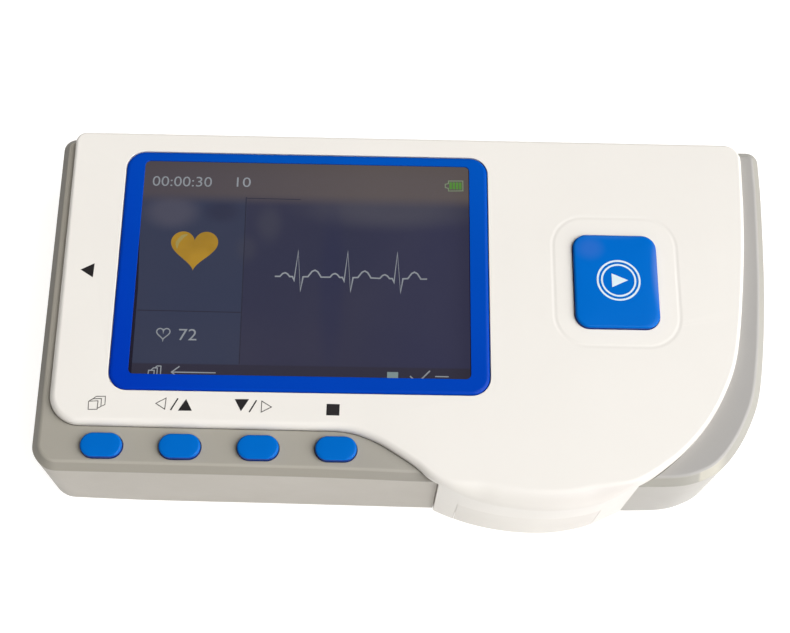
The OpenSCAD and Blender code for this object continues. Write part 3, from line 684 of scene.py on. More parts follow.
def make_cover():
    bf = belly_part(COVER)
    top = smooth((COVER[:, 1] - 22.0) / 2.6)
    side = smooth((COVER[:, 0] - 56.0) / 10)
    h = 1.1 - 0.45 * top + 2.1 * bf - 0.3 * side * (1 - top)
    w = 1.2 - 0.6 * top + 1.9 * bf - 0.45 * side * (1 - top)
    rings = []
    for k in range(5):
        t = math.radians(90 * k / 4)
        rings.append(at(inset(COVER, 0.45 * (1 - math.sin(t))), 0.45 * (1 - math.cos(t))))
    for k in range(11):
        t = math.radians(9 * k)
        rings.append(at(inset(COVER, w * (1 - math.cos(t))), FACE - h + h * math.sin(t)))
    body = loft(rings)
    inner = lower_curve(inset(COVER, 2.4), *BELLY_X)
    below = np.vstack([[-60, -60], [BELLY_X[0], -60], inner, [BELLY_X[1], -60], [100, -60], [100, 40], [-60, 40]])
    cut(body, prism(below, -1, DECK))
    cut(body, flared(lambda d: rr(64.24 + 2 * d, 44.74 + 2 * d, 3.32 + d, n=12), 19.5, FACE, 0.10))
    cut(body, prism(rr(59.6, 42.6, 1.0, (0, 1.0)), 18, 20))
    # shallow round-bottomed groove around the start key
    ring = lambda d: rr(21.6 + 2 * d, 24.1 + 2 * d, 5.6 + d, RING, 14)
    rings = [at(ring(0.52), FACE + 0.4)]
    for k in range(11):
        u = 1 - k / 5
        rings.append(at(ring(0.52 * u), FACE - 0.0006 - 0.036 * (1 + math.cos(math.pi * u)) / 2))
    rings.append(at(ring(-0.52), FACE + 0.4))
    cut(body, torus(rings))
    cut(body, flared(lambda d: rr(14.76 + 2 * d, 17.56 + 2 * d, 2.58 + d, START, 10), 18, FACE, 0.07))
    # seat of the port flap and the port's window
    seat = lower_curve(inset(COVER, 1.3), 26.92, 51.33)
    cut(body, prism(np.vstack([[26.92, -50], [51.33, -50], seat[::-1]]), -1, 11.425))
    nick = lower_curve(inset(COVER, 0.14), 26.74, 26.96)
    cut(body, prism(np.vstack([[26.74, -50], [26.96, -50], nick[::-1]]), -1, 7.4))
    cut(body, along_y(rr(9.4, 5.2, 0.7, (PORT_X, PORT_Z), 5), -46, -30))
    return finish_piece(body, "face_cover", "case", M["cover"], replaces=("front_cover",))


def make_deck():
    p = case_outline()
    prof = [(0, WAIST), (0, WAIST + 0.06)]
    a, b, c = (0.0, WAIST + 0.06), (0.06, WAIST + 0.22), (0.30, WAIST + 0.40)
    for k in range(1, 5):
        t = k / 4
        prof.append(tuple((1 - t) ** 2 * a[i] + 2 * t * (1 - t) * b[i] + t * t * c[i] for i in (0, 1)))
    a, b, c = (1.0, DECK - 0.33), (1.32, DECK), (1.75, DECK)
    for k in range(0, 6):
        t = k / 5
        prof.append(tuple((1 - t) ** 2 * a[i] + 2 * t * (1 - t) * b[i] + t * t * c[i] for i in (0, 1)))
    lean = front_in(p)
    body = loft([at(inset(p, d + lean), z) for d, z in prof])
    # the belly, and what lies under the cover
    edge = lower_curve(inset(COVER, 2.55), 23.27, 56.52)
    cut(body, prism(np.vstack([[23.27, -60], [56.52, -60], edge[::-1]]), WAIST - 1, DECK + 1))
    cut(body, block(-35.3, 35.3, -27.2, 23.7, WAIST - 1, DECK + 1))
    cut(body, prism(rr(17.5, 20.3, 3, START), WAIST - 1, DECK + 1))
    for x in KEY_X:
        cut(body, flared(lambda d, x=x: rr(7.10 + 2 * d, 4.36 + 2 * d, 2.18 + d - 0.01, (x, KEY_Y), 12), WAIST - 1, DECK, 0.07))
    for x, y in CASE_HOLES:
        cut(body, rod((x, y), 1.02, WAIST - 1, DECK - 0.4, 24))
    # shadow groove along the edge of the white plate
    side = smooth((COVER[:, 0] - 58.0) / 12)
    groove = prism(inset(COVER, -0.13 + 0.18 * side), DECK - 0.35, DECK + 0.5)
    cut(groove, prism(inset(COVER, 0.35), DECK - 1, DECK + 1))
    cut(body, groove)
    return finish_piece(body, "deck", "case", M["deck"], replaces=("deck_frame",))


def case_solid(z1=WAIST, n=8):
    p = case_outline()
    out = back_out(p)
    rings = []
    for k in range(n + 1):
        t = math.radians(90 * k / n)
        rings.append(at(inset(p, 0.4 * (1 - math.sin(t)) - out), 0.4 * (1 - math.cos(t))))
    rings.append(at(inset(p, front_in(p)), z1))
    return loft(rings)


def door_outline(d=0.0, y1=27.5):
    """Battery door from above: square at the top edge, round corners inside."""
    x0, x1, y0 = -32 - d, 18 + d, 1.2 - d
    r = 1.6 + d
    return np.vstack([[x1, y1], [x0, y1], arc((x0 + r, y0 + r), r, 180, 270, 8), arc((x1 - r, y0 + r), r, 270, 360, 8)])


def make_rear():
    body = case_solid()
    cut(body, prism(inset(case_outline(1.5), 1.6), 1.8, WAIST + 1))
    cut(body, block(23.27, 56.52, -60, -34.4, -1, WAIST + 1))
    edge = lower_curve(inset(COVER, 2.5), 23.3, 56.5)
    edge = edge[edge[:, 1] < -34.1]
    add(body, prism(np.vstack([edge, [edge[-1][0], -33.6], [edge[0][0], -33.6]]), 0, 1.8))
    add(body, block(-32.2, 18.2, 0.8, 24.9, 1.6, 13.3))
    add(body, block(-34.2, 20.2, 0.8, 24.9, 1.6, 3.0))
    for q in CASE_HOLES:
        add(body, rod(q, 2.8, 0.5, 13, 40))
    for q in MAIN_HOLES:
        add(body, rod(q, 2.1, 1, 3.6, 32))
    for y in (-10, -20):
        add(body, block(-40, 17, y, y + 1, 1.5, 4))
    cut(body, prism(rr(48, 22.2, 0.6, (-7, 13.1), 4), 0.8, 12.5))
    cut(body, flared_down(lambda d: door_outline(d), 0, 1.0, 0.18))
    cut(body, block(-33.2, 19.2, 0.8, 27.5, 0.8, 1.7))
    for q in CASE_HOLES:
        cut(body, flared_down(lambda d, q=q: circle(q, 2.1 + d, 48), 0, 8, 0.22))
        cut(body, rod(q, 1.1, 7, 14, 32))
    for q in MAIN_HOLES:
        cut(body, rod(q, 0.82, 1.2, 4.6, 24))
    for y in (9, -6):
        cut(body, flared_down(lambda d, y=y: rr(17.1 + 2 * d, 9.1 + 2 * d, 4.45 + d, (66, y), 12), 0, 0.65, 0.12))
        cut(body, rod((66, y), 1.1, 0, 3, 24))
    cut(body, along_x(rr(24.1, 8.1, 1.6, (-5, 9), 8), -46, -43.45))
    cut(body, along_x(circle((-5, 9), 1.1, 24), -46, -41))
    return finish_piece(body, "rear_case", "case", M["case"], replaces=("rear_shell",), flat=90)


def make_door():
    body = case_solid()
    rings = [at(door_outline(-0.12 - 0.35), -0.23), at(door_outline(-0.12), 0.12), at(door_outline(-0.12), 1.6)]
    plate = loft(rings)
    add(plate, block(-33.1, 19.1, 1.32, 27.5, 0.92, 1.6))
    combine(body, plate, "INTERSECT")
    # grip: five rounded grooves, and an arrow that points the way it slides
    for i in range(5):
        y = 14.4 + 1.8 * i
        g = rr(17.2, 0.9, 0.44, (-7, y), 6)
        cut(body, loft([at(inset(g, -0.16), -0.5), at(inset(g, -0.1), 0.0), at(g, 0.18), at(inset(g, 0.12), 0.42),
                        at(inset(g, 0.28), 0.5)]))
    tri = np.array([[-9.4, 9.0], [-4.6, 9.0], [-7.0, 12.2]])
    cut(body, loft([at(inset(tri, -0.1), -0.5), at(tri, 0.05), at(inset(tri, 0.15), 0.3)]))
    return finish_piece(body, "battery_cover", "door", M["case"], replaces=("battery_door",), flat=60)


# ------------------------------------------------------------ window and display
def make_window():
    o = lambda d, n=14: rr(64 - 2 * d, 44.5 - 2 * d, 3.2 - d, n=n)
    v = lambda d, n=14: rr(57.6 + 2 * d, 40 + 2 * d, 0.9 + d, (0, 0.5), n)
    top = FACE + 0.1
    rings = [at(o(0), 19.5), at(o(0), top - 0.34)]
    for k in range(1, 7):
        t = math.radians(15 * k)
        rings.append(at(o(0.75 * (1 - math.cos(t))), top - 0.34 + 0.34 * math.sin(t)))
    body = loft(rings)
    # the clear pane shows through, thin where it is printed
    step = loft([at(v(1.4), 18), at(v(1.4), top - 0.3)])
    cut(body, step)
    cut(body, flared(lambda d: v(d), 18, top, 0.05, 3))
    rim = finish_piece(body, "window_rim", "case", M["rim"], replaces=("lens_border",))
    pane = loft([at(v(1.3), 19.7), at(v(1.3), top - 0.32), at(v(-0.03), top - 0.30), at(v(-0.03), top - 0.05)])
    finish_piece(pane, "window_pane", "case", pane_mat(), replaces=("display_lens",), angle=20)
    return rim


def thin(p, z, t=0.02):
    return prism(p, z, z + t)


def ccw(p):
    p = np.asarray(p, float)
    a = np.sum(p[:, 0] * np.roll(p[:, 1], -1) - np.roll(p[:, 0], -1) * p[:, 1])
    return p if a > 0 else p[::-1]


def stroke(pts, w, z, closed=False, t=0.02):
    """A line of width w through points, as a thin solid."""
    p = np.asarray(pts, float)
    n = len(p)
    if closed:
        p = ccw(p)
        a, b = inset(p, -w / 2), inset(p, w / 2)
        verts = np.vstack([at(a, z), at(b, z), at(a, z + t), at(b, z + t)])
        faces = []
        for i in range(n):
            j = (i + 1) % n
            faces += [[2 * n + i, 2 * n + j, 3 * n + j, 3 * n + i], [i, n + i, n + j, j],
                      [i, j, 2 * n + j, 2 * n + i], [n + i, 3 * n + i, 3 * n + j, n + j]]
        return raw("stroke", verts, faces)
    d = np.diff(p, axis=0)
    d /= np.linalg.norm(d, axis=1)[:, None]
    nrm = np.c_[-d[:, 1], d[:, 0]]
    left = []
    for i in range(n):
        if i == 0:
            m, k = nrm[0], 1
        elif i == n - 1:
            m, k = nrm[-1], 1
        else:
            m = nrm[i - 1] + nrm[i]
            m /= np.linalg.norm(m)
            k = 1 / max(0.35, float(m @ nrm[i]))
        left.append(m * k * w / 2)
    left = np.array(left)
    return prism(np.vstack([p - left, (p + left)[::-1]]), z, z + t)


def ring_solid(c, r0, r1, z, t=0.02, n=72):
    return stroke(circle(c, (r0 + r1) / 2, n), r1 - r0, z, True, t)


def digits(text, x, y, height, z, t=0.02, squeeze=0.86, weight=0.0):
    """Plain numerals as thin solids: height is the numeral's own, in millimetres."""
    cu = bpy.data.curves.new("numerals", "FONT")
    cu.body = text
    cu.size = height / 0.73
    cu.extrude = t / 2
    cu.offset = weight
    cu.resolution_u = 5
    ob = bpy.data.objects.new("numerals", cu)
    bpy.context.scene.collection.objects.link(ob)
    bpy.context.view_layer.update()
    me = bpy.data.meshes.new_from_object(ob.evaluated_get(bpy.context.evaluated_depsgraph_get()))
    bpy.data.objects.remove(ob)
    bpy.data.curves.remove(cu)
    me.transform(Matrix.Translation((x, y, z + t / 2)) @ Matrix.Diagonal((squeeze, 1, 1, 1)))
    o = bpy.data.objects.new("numerals", me)
    bpy.context.scene.collection.objects.link(o)
    me.materials.clear()
    return o


def heart(c, s, n=64):
    t = np.linspace(0, 2 * np.pi, n, endpoint=False)
    x = 16 * np.sin(t) ** 3
    y = 13 * np.cos(t) - 5 * np.cos(2 * t) - 2 * np.cos(3 * t) - np.cos(4 * t)
    return ccw(np.c_[c[0] + s * x / 16, c[1] + s * (y + 2.5) / 16])


def make_display():
    z = 17.2
    foam = prism(rr(63.6, 45, 1, (0, 0.5), 6), z, DECK)
    cut(foam, prism(rr(59.1, 42.5, 0.8, (0, 1.15), 6), z - 1, DECK + 1))
    finish_piece(foam, "foam_frame", "case", M["foam"], replaces=("display_gasket",))
    pic = np.array([[-28.8, -20.7], [28.95, -20.7], [28.95, 22.35], [-29.5, 22.35], [-29.5, 10.5], [-28.87, -2.5]])
    finish_piece(prism(pic, z - 0.2, z + 0.03), "screen_picture", "case", picture_mat(),
                 smooth=False)
    z += 0.03
    pale = (0.275, 0.29, 0.305)
    groups = {
        "screen_marks": (glow("lit_pale", pale), []),
        "screen_lines": (glow("lit_dark", (0.018, 0.017, 0.034), 0.05), []),
        "screen_heart": (glow("lit_amber", (0.36, 0.195, 0.012), 0.22), []),
        "screen_shine": (glow("lit_shine", (0.34, 0.26, 0.07), 0.1), []),
        "screen_battery": (glow("lit_green", (0.085, 0.24, 0.035), 0.1), []),
        "screen_frame": (glow("lit_frame", (0.20, 0.26, 0.15), 0.1), []),
        "screen_key": (glow("lit_key", (0.22, 0.29, 0.28), 0.08), []),
    }
    put = lambda g, *o: groups[g][1].extend(o)
    put("screen_marks", digits("00:00:30", -27.95, 17.18, 2.05, z, squeeze=1.12, weight=-0.012))
    put("screen_marks", digits("10", -13.45, 17.3, 2.0, z, squeeze=1.2, weight=-0.012))
    # boxes of the layout
    put("screen_lines", stroke([[-10.93, 15.3], [-10.57, -16.3]], 0.17, z, t=0.012),
        stroke([[-28.75, -6.8], [-10.75, -6.9]], 0.17, z, t=0.012),
        stroke([[-10.8, 15.05], [-1.2, 15.0]], 0.12, z, t=0.012))
    # battery
    b = np.array([[25.35, 17.27], [27.93, 17.35], [27.93, 19.33], [25.35, 19.28], [25.3, 18.75], [24.75, 18.6], [24.75, 17.95],
                  [25.3, 17.8]])
    put("screen_frame", stroke(b, 0.16, z, True))
    for i in range(4):
        put("screen_battery", thin(rr(0.46, 1.4, 0.05, (25.72 + 0.58 * i, 18.32), 2), z))
    # heart mark in the left column, with a soft highlight
    put("screen_heart", thin(heart((-19.6, 4.55), 4.15, 72), z))
    put("screen_shine", thin(ccw(through([[-23.4, 4.2], [-22.9, 6.2], [-21.9, 7.55], [-20.9, 7.7], [-21.6, 7.0], [-22.3, 6.0],
                                          [-22.6, 4.9], [-22.9, 6.2], [-21.9, 7.55]], 5)), z + 0.02, 0.01))
    # small heart and a plain number
    put("screen_marks", stroke(heart((-23.9, -11.15), 1.15, 28), 0.2, z, True))
    put("screen_marks", digits("72", -21.4, -12.2, 2.2, z, squeeze=1.12, weight=-0.01))
    # heart trace
    pts = [[-5.2, 0.0]]
    x = -5.2
    beat = [(0.9, 0.0), (1.35, 0.55), (1.8, 0.72), (2.2, 0.5), (2.6, 0.0), (3.1, 0.0), (3.4, -0.7), (3.95, 4.9),
            (4.55, -2.6), (4.95, 0.0), (5.8, 0.05), (6.5, 1.05), (7.0, 1.3), (7.5, 1.0), (8.1, 0.0)]
    for k in range(3):
        for dx, dy in beat:
            pts.append([x + dx, dy + 0.12 * math.sin(3 * k)])
        x += 8.75
    pts.append([21.5, 0.0])
    put("screen_marks", stroke(pts, 0.26, z))
    # soft-key marks in the lower bar
    put("screen_marks", stroke([[-26.0, -18.9], [-25.9, -17.75], [-24.95, -17.75], [-24.95, -19.6]], 0.17, z),
        stroke([[-25.5, -17.7], [-25.1, -17.3], [-24.45, -17.3], [-24.45, -19.2]], 0.17, z),
        stroke([[-24.8, -17.25], [-24.5, -16.95], [-23.85, -16.95], [-23.85, -19.0]], 0.17, z),
        stroke([[-21.9, -18.0], [-14.5, -18.0]], 0.2, z), stroke([[-20.7, -16.95], [-22.0, -18.0], [-20.7, -19.05]], 0.2, z),
        stroke([[18.6, -18.0], [19.9, -19.2], [22.0, -17.0]], 0.24, z),
        stroke([[22.9, -18.0], [25.2, -18.0]], 0.2, z))
    put("screen_key", thin([[14.68, -19.2], [16.55, -19.2], [16.58, -17.33], [14.7, -17.33]], z))
    for name, (mat, obs) in groups.items():
        finish_piece(join(name, *obs), name, "case", mat, smooth=False)


# ------------------------------------------------------------ keys
def finish_key(body, name, key, mats, node, side_top, foot=0.6):
    tidy(body)
    # painted shade: faces below side_top, and above it those that face neither up nor to the right, get the dark navy
    # side material standing in for the shade on the key's sides and lower edges
    for f in body.data.polygons:
        rounding = f.center.z > side_top and (f.normal.z > foot or f.normal.x > 0.45)
        f.material_index = 0 if rounding else 1
    index = [f.material_index for f in body.data.polygons]
    ob = finish_piece(body, name, key, mats, replaces=(node,), angle=40)
    if len(index) == len(ob.data.polygons):
        ob.data.polygons.foreach_set("material_index", index)
    return ob


def make_oval(i, name, key, node):
    c = (KEY_X[i], KEY_Y)
    o = lambda d: rr(6.92 - 2 * d, 4.18 - 2 * d, 2.08 - d, c, 14)
    top = DECK + 1.1
    rings = [at(o(0.0), 16.45), at(o(0), top - 0.44)]
    for k in range(1, 9):
        t = math.radians(90 * k / 8)
        rings.append(at(o(0.4 * (1 - math.cos(t))), top - 0.44 + 0.38 * math.sin(t)))
    for d, dz in ((0.75, 0.025), (1.15, 0.045), (1.6, 0.057), (2.0, 0.06)):
        rings.append(at(o(d), top - 0.06 + dz))
    body = loft(rings)
    add(body, block(c[0] - 4.35, c[0] + 4.35, c[1] - 1.9, c[1] + 2.9, 16.4, 17.4))
    return finish_key(body, name, key, [M["key"], M["key_painted_shade"]], node, DECK + 0.68)


def make_start():
    top = FACE + 0.8
    o = lambda d: rr(14.6 - 2 * d, 17.4 - 2 * d, 2.5 - min(d, 2.3), START, 12)
    side = smooth((o(0)[:, 0] - START[0]) / 7.3)
    rings = [at(o(0), 17.9), at(o(0), top - 0.46)]
    for k in range(1, 10):
        t = math.radians(90 * k / 9)
        q = o(0.5 * (1 - math.cos(t)))
        rings.append(at(np.c_[q[:, 0] - 0.7 * side * (1 - math.cos(t)), q[:, 1]], top - 0.46 + 0.40 * math.sin(t)))
    for d, dz in ((1.4, 0.02), (2.4, 0.04), (3.8, 0.054), (5.8, 0.06)):
        rings.append(at(o(d), top - 0.06 + dz))
    body = loft(rings)
    add(body, prism(rr(16.6, 19.4, 2.5, START, 8), 18.0, 18.9))
    add(body, rod(START, 2, 16.4, 18.5, 32))
    cap = finish_key(body, "start_cap", "start_key", [M["start"], M["key_painted_shade"]], "start_button", FACE + 0.30, 0.5)
    z = top - 0.006
    c = (54.44, -1.27)
    marks = join("m", ring_solid(c, 3.47, 3.80, z, 0.026, 96), ring_solid(c, 2.74, 3.05, z, 0.026, 96),
                 thin([[53.27, -2.57], [56.07, -1.22], [53.26, 0.0]], z, 0.026))
    finish_piece(marks, "start_mark", "start_key", M["ink_white"], smooth=False)
    return cap


def make_prints():
    """The control marks printed on the white cover."""
    z = FACE - 0.006
    t = 0.022
    solid = [thin(ccw([[-38.38, -0.78], [-36.06, 0.46], [-36.15, -2.19]]), z, t),
             thin(ccw([[-18.75, -23.76], [-17.66, -25.81], [-19.99, -25.83]]), z, t),
             thin(ccw([[-10.69, -23.66], [-8.29, -23.62], [-9.55, -25.76]]), z, t),
             thin(ccw([[4.64, -24.22], [6.81, -24.24], [6.79, -26.23], [4.6, -26.2]]), z, t),
             stroke([[-20.1, -23.68], [-21.2, -25.75]], 0.23, z, t=t),
             stroke([[-7.05, -23.8], [-8.17, -25.88]], 0.23, z, t=t)]
    finish_piece(join("p", *solid), "printed_marks", "case", M["ink"], smooth=False)
    fine = [stroke(ccw([[-23.72, -24.62], [-22.07, -23.68], [-22.17, -25.62]]), 0.14, z, True, t),
            stroke(ccw([[-6.17, -23.93], [-4.52, -24.93], [-6.18, -25.85]]), 0.14, z, True, t),
            stroke(ccw([[-34.85, -24.45], [-33.30, -24.35], [-33.33, -25.82], [-34.80, -25.86]]), 0.13, z, True, t),
            stroke([[-34.72, -24.36], [-34.15, -24.02], [-32.76, -23.95], [-32.74, -25.32], [-33.25, -25.62]], 0.13, z, t=t),
            stroke([[-34.15, -24.0], [-33.62, -23.58], [-32.14, -23.54], [-32.10, -24.98], [-32.66, -25.28]], 0.13, z, t=t)]
    finish_piece(join("q", *fine), "printed_outlines", "case", M["ink_thin"], smooth=False)


# ------------------------------------------------------------ port flap
def make_flap():
    """Soft flap that follows the belly wall, with rounded edges, a lip and the plug behind it."""
    fine = cover_outline(n=40)
    line = lower_curve(fine, 26.95, 51.30)
    d = np.gradient(line, axis=0)
    d /= np.linalg.norm(d, axis=1)[:, None]
    nrm = np.c_[-d[:, 1], d[:, 0]]
    # section: (inset, z), outside at negative inset
    out = 0.0

    def section(k):
        r1, r2 = 0.40, 0.05
        pts = [arc((out + r1 + k, 0.22 + r1 + k), r1, 180, 270, 5), arc((1.2 - 0.1 - k, 0.22 + 0.1 + k), 0.1, 270, 360, 2),
               arc((1.2 - 0.1 - k, 11.4 - 0.1 - k), 0.1, 0, 90, 2), arc((out + r2 + k, 11.4 - r2 - k), r2, 90, 180, 4)]
        return np.vstack(pts)
    n = len(line)
    s0 = [(line[0] + d[0] * q, nrm[0], k) for q, k in ((0.0, 0.05), (0.015, 0.015), (0.05, 0.0))]
    s1 = [(line[-1] - d[-1] * q, nrm[-1], k) for q, k in ((0.05, 0.0), (0.015, 0.015), (0.0, 0.05))]
    mid = [(line[i], nrm[i], 0.0) for i in range(n)
           if np.linalg.norm(line[i] - line[0]) > 0.3 and np.linalg.norm(line[i] - line[-1]) > 0.3]
    verts, m = [], 0
    for p, q, k in s0 + mid + s1:
        sec = section(k)
        m = len(sec)
        verts.append(np.c_[p[0] + q[0] * sec[:, 0], p[1] + q[1] * sec[:, 0], sec[:, 1]])
    k = len(verts)
    faces = [list(range(m))]
    for a in range(k - 1):
        for i in range(m):
            j = (i + 1) % m
            faces.append([a * m + i, (a + 1) * m + i, (a + 1) * m + j, a * m + j])
    faces.append([(k - 1) * m + i for i in range(m - 1, -1, -1)])
    body = raw("flap", np.vstack(verts), faces)
    bm = bmesh.new()
    bm.from_mesh(body.data)
    bmesh.ops.recalc_face_normals(bm, faces=bm.faces)
    bm.to_mesh(body.data)
    bm.free()
    add(body, along_y(rr(8.2, 4.0, 0.6, (PORT_X, PORT_Z), 5), -40.2, -38.8))
    return finish_piece(body, "port_flap_cover", "port_flap", M["flap"], replaces=("port_cover",))


# ------------------------------------------------------------ touch plates
def make_plates():
    for name, node, y in (("index_plate", "index_electrode", 9), ("middle_plate", "middle_electrode", -6)):
        o = lambda d, y=y: rr(17 - 2 * d, 9 - 2 * d, 4.42 - d, (66, y), 14)
        rings = [at(o(0.55), 0.02), at(o(0.3), 0.05), at(o(0.12), 0.13), at(o(0), 0.3), at(o(0), 0.6)]
        rings = [at(o(2.2), 0.0)] + rings
        body = loft(rings)
        add(body, rod((66, y), 1, 0.5, 2.2, 32))
        finish_piece(body, name, "case", M["steel"], replaces=(node,))
    o = lambda d: rr(24 - 2 * d, 8 - 2 * d, 1.55 - min(d, 1.4), (-5, 9), 8)
    rings = []
    for d, x in ((0, -43.5), (0, -43.86), (0.07, -43.93), (0.22, -43.99), (1.0, -44.0)):
        q = o(d)
        rings.append(np.c_[q[:, 0], q[:, 1], np.full(len(q), -x)])
    body = loft(rings)
    turned(body, Matrix(((0, 0, -1, 0), (1, 0, 0, 0), (0, 1, 0, 0), (0, 0, 0, 1))))
    add(body, along_x(circle((-5, 9), 1, 32), -43.6, -41.6))
    finish_piece(body, "left_plate", "case", M["steel"], replaces=("left_electrode",))


# ------------------------------------------------------------ cells and springs
def lathe(profile, n=56):
    """Solid of revolution about x from (x, r) points, first and last on the axis."""
    rings, faces = [], []
    verts = [(profile[0][0], 0, 0)]
    for x, r in profile[1:-1]:
        a = np.linspace(0, 2 * np.pi, n, endpoint=False)
        verts += [(x, r * math.cos(t), r * math.sin(t)) for t in a]
    verts.append((profile[-1][0], 0, 0))
    m = len(profile) - 2
    for i in range(n):
        j = (i + 1) % n
        faces.append([0, 1 + j, 1 + i])
        for k in range(m - 1):
            faces.append([1 + k * n + i, 1 + k * n + j, 1 + (k + 1) * n + j, 1 + (k + 1) * n + i])
        faces.append([1 + (m - 1) * n + i, 1 + (m - 1) * n + j, len(verts) - 1])
    ob = raw("lathe", verts, faces)
    bm = bmesh.new()
    bm.from_mesh(ob.data)
    bmesh.ops.recalc_face_normals(bm, faces=bm.faces)
    bm.to_mesh(ob.data)
    bm.free()
    return ob


def make_cells():
    prof = [(0.05, 0), (0.05, 3.6), (0.12, 4.2), (0.02, 4.55), (0.1, 4.95), (0.45, 5.14), (0.46, 5.2), (33.2, 5.2), (33.25, 5.2),
            (42.6, 5.2), (43.0, 5.08), (43.25, 4.8), (43.3, 4.5), (43.12, 4.3), (43.1, 2.4), (43.3, 2.05), (44.2, 1.9),
            (44.45, 1.7), (44.5, 1.2), (44.5, 0)]
    for name, node, y, s, x0 in (("cell_one", "cell_a", CELL_Y[0], 1, 17 - 0.3 - 44.5), ("cell_two", "cell_b", CELL_Y[1], -1, -31 + 0.3 + 44.5)):
        ob = lathe(prof)
        idx = []
        for f in ob.data.polygons:
            x = f.center.x
            idx.append(0 if 0.46 < x < 33.22 else 1 if 33.22 <= x < 43.2 and abs(f.normal.x) < 0.9 else 2)
        ob.data.polygons.foreach_set("material_index", idx)
        turned(ob, Matrix.Translation((x0, y, 7.2)) @ Matrix.Diagonal((s, 1, 1, 1)))
        me = ob.data
        keep = list(idx)
        ob = finish_piece(ob, name, "case", [M["sleeve"], M["sleeve_band"], M["nickel"]], replaces=(node,), angle=30)
        if len(ob.data.polygons) == len(keep):
            ob.data.polygons.foreach_set("material_index", keep)


def make_springs():
    length = 48 - 0.6 - 44.5
    parts = []
    for x0, y, s in ((-30.7, CELL_Y[0], 1), (16.7, CELL_Y[1], -1)):
        turns, steps, w = 3.2, 40, 0.27
        n = int(turns * steps)
        verts, faces = [], []
        for i in range(n + 1):
            a = 2 * math.pi * i / steps
            f = i / n
            r = 3.3 - 1.1 * f
            x = w + 0.02 + (length - 2 * w - 0.04) * f
            for k in range(10):
                b = -2 * math.pi * k / 10
                q = r + w * math.cos(b)
                verts.append((x0 + s * (x + w * math.sin(b)), y + q * math.cos(a), 7.2 + q * math.sin(a)))
        m = 10
        faces.append(list(range(m)))
        for i in range(n):
            for k in range(m):
                j = (k + 1) % m
                faces.append([i * m + k, i * m + j, (i + 1) * m + j, (i + 1) * m + k])
        faces.append([n * m + k for k in range(m - 1, -1, -1)])
        ob = raw("spring", verts, faces)
        bm = bmesh.new()
        bm.from_mesh(ob.data)
        bmesh.ops.recalc_face_normals(bm, faces=bm.faces)
        bm.to_mesh(ob.data)
        bm.free()
        parts.append(ob)
    finish_piece(join("s", *parts), "cell_springs", "case", M["nickel"], replaces=("battery_springs",), angle=60)


# ------------------------------------------------------------ build
make_cover()
make_deck()
make_rear()
make_door()
make_window()
make_display()
for i, (name, key, node) in enumerate((("menu_cap", "menu_key", "menu_button"), ("left_up_cap", "left_up_key", "left_up_button"),
                                       ("right_down_cap", "right_down_key", "right_down_button"), ("stop_cap", "stop_key", "stop_button"))):
    make_oval(i, name, key, node)
make_start()
make_prints()
make_flap()
make_plates()
make_cells()
make_springs()

CAD = {
    "lcd_panel": "mask", "lcd_backlight": "diffuser", "lcd_frame": "tin", "lcd_flex": "flex",
    "lcd_connector": "ivory", "start_plunger": "black", "menu_plunger": "black", "left_up_plunger": "black",
    "right_down_plunger": "black", "stop_plunger": "black", "switch_bases": "tin", "display_board": "board",
    "main_board": "board", "board_header": "black", "processor_chip": "black", "memory_chip": "black", "shield_can": "tin",
    "crystal": "tin", "buzzer": "black", "chip_capacitors": "ceramic", "data_port": "tin", "port_tongue": "black",
    "contact_link": "nickel", "contact_terminals": "nickel", "finger_contacts": "gold", "electrode_lead": "black",
    "case_screws": "screw", "display_screws": "screw", "board_screws": "screw",
}
for node, key in CAD.items():
    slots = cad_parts[node].data.materials
    if not len(slots):
        slots.append(M[key])
    for i in range(len(slots)):
        slots[i] = M[key]

# ------------------------------------------------------------ floor, light, camera
floor = bpy.data.meshes.new("floor")
floor.from_pydata([(-4, -4, -0.00002), (4, -4, -0.00002), (4, 4, -0.00002), (-4, 4, -0.00002)], [], [(0, 1, 2, 3)])
floor_ob = bpy.data.objects.new("floor", floor)
bpy.context.scene.collection.objects.link(floor_ob)
fm = Mat("floor_white")
fm.set(Base_Color=(0.25, 0.25, 0.25), Roughness=0.9, Emission_Color=(1.0, 0.985, 0.96))
fm.b.inputs["Emission Strength"].default_value = 0.94
fm.b.inputs["Specular IOR Level"].default_value = 0.0
# clear from below, so that the back of the object can be looked at
under = fm.node("ShaderNodeMixShader")
fm.link(fm.node("ShaderNodeNewGeometry").outputs["Backfacing"], under.inputs["Fac"])
fm.link(fm.b.outputs[0], under.inputs[1])
fm.link(fm.node("ShaderNodeBsdfTransparent").outputs[0], under.inputs[2])
fm.link(under.outputs[0], fm.out.inputs["Surface"])
floor.materials.append(fm.m)
floor_ob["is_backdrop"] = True

world = bpy.data.worlds.new("studio")
bpy.context.scene.world = world
world.use_nodes = True
wt = world.node_tree
wt.nodes.clear()


def sky(kind, *args, **values):
    n = wt.nodes.new(kind)
    for k, v in values.items():
        setattr(n, k, v)
    for i, v in enumerate(args):
        if hasattr(v, "is_output"):
            wt.links.new(v, n.inputs[i])
        elif v is not None:
            n.inputs[i].default_value = v
    return n


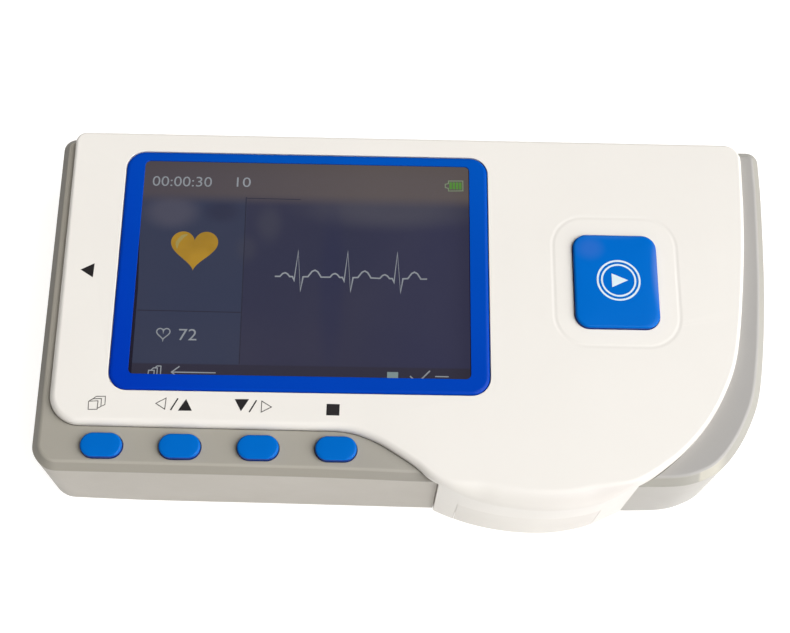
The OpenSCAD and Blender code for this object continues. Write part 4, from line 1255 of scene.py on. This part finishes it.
# a dim room with one wide soft source high on the right
SUN = Vector((0.64, -0.16, 0.75)).normalized()
ray = sky("ShaderNodeTexCoord").outputs["Generated"]
toward = sky("ShaderNodeVectorMath", ray, tuple(SUN), operation="DOT_PRODUCT").outputs["Value"]
soft = sky("ShaderNodeMapRange", toward, 0.74, 0.985, 0.0, 1.0, interpolation_type="SMOOTHSTEP").outputs[0]
tint = sky("ShaderNodeMix", soft, data_type="RGBA")
tint.inputs[6].default_value = (0.100, 0.099, 0.097, 1)
tint.inputs[7].default_value = (5.38, 5.40, 5.45, 1)
back = sky("ShaderNodeBackground", tint.outputs[2], 1.0)
# what is seen past the floor is a pale plain backdrop
paper = sky("ShaderNodeBackground", (1.0, 0.99, 0.975, 1), 1.0)
seen = sky("ShaderNodeMixShader", sky("ShaderNodeLightPath").outputs["Is Camera Ray"], back.outputs[0], paper.outputs[0])
wt.links.new(seen.outputs[0], sky("ShaderNodeOutputWorld").inputs["Surface"])


def area(name, where, aim, size, power, colour=(1, 1, 1)):
    li = bpy.data.lights.new(name, "AREA")
    li.shape = "RECTANGLE"
    li.size, li.size_y = size
    li.energy = power
    li.color = colour
    ob = bpy.data.objects.new(name, li)
    bpy.context.scene.collection.objects.link(ob)
    ob.location = where
    ob.rotation_mode = "QUATERNION"
    ob.rotation_quaternion = (Vector(aim) - Vector(where)).to_track_quat("-Z", "Y")
    return ob


area("side_light", (0.36, -0.26, 0.12), (0.06, -0.02, 0.01), (0.25, 0.16), 0.36, (0.97, 0.985, 1.0))

cam = bpy.data.cameras.new("camera")
cam.sensor_width = 36
cam.lens = 61.77871391901428
cam.clip_start, cam.clip_end = 0.01, 20
cam_ob = bpy.data.objects.new("camera", cam)
bpy.context.scene.collection.objects.link(cam_ob)
cam_ob.matrix_world = Matrix(((0.999662, -0.017901, -0.018878, -0.00741105855),
                              (0.009906, 0.932882, -0.360046, -0.08431640105),
                              (0.024056, 0.359737, 0.932744, 0.23666199668),
                              (0, 0, 0, 1)))
bpy.context.scene.camera = cam_ob
bpy.context.scene.view_settings.view_transform = "Standard"

bpy.context.view_layer.update()
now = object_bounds()
{"cad": [list(map(float, v)) for v in cad_box], "visual": [list(map(float, v)) for v in now]}
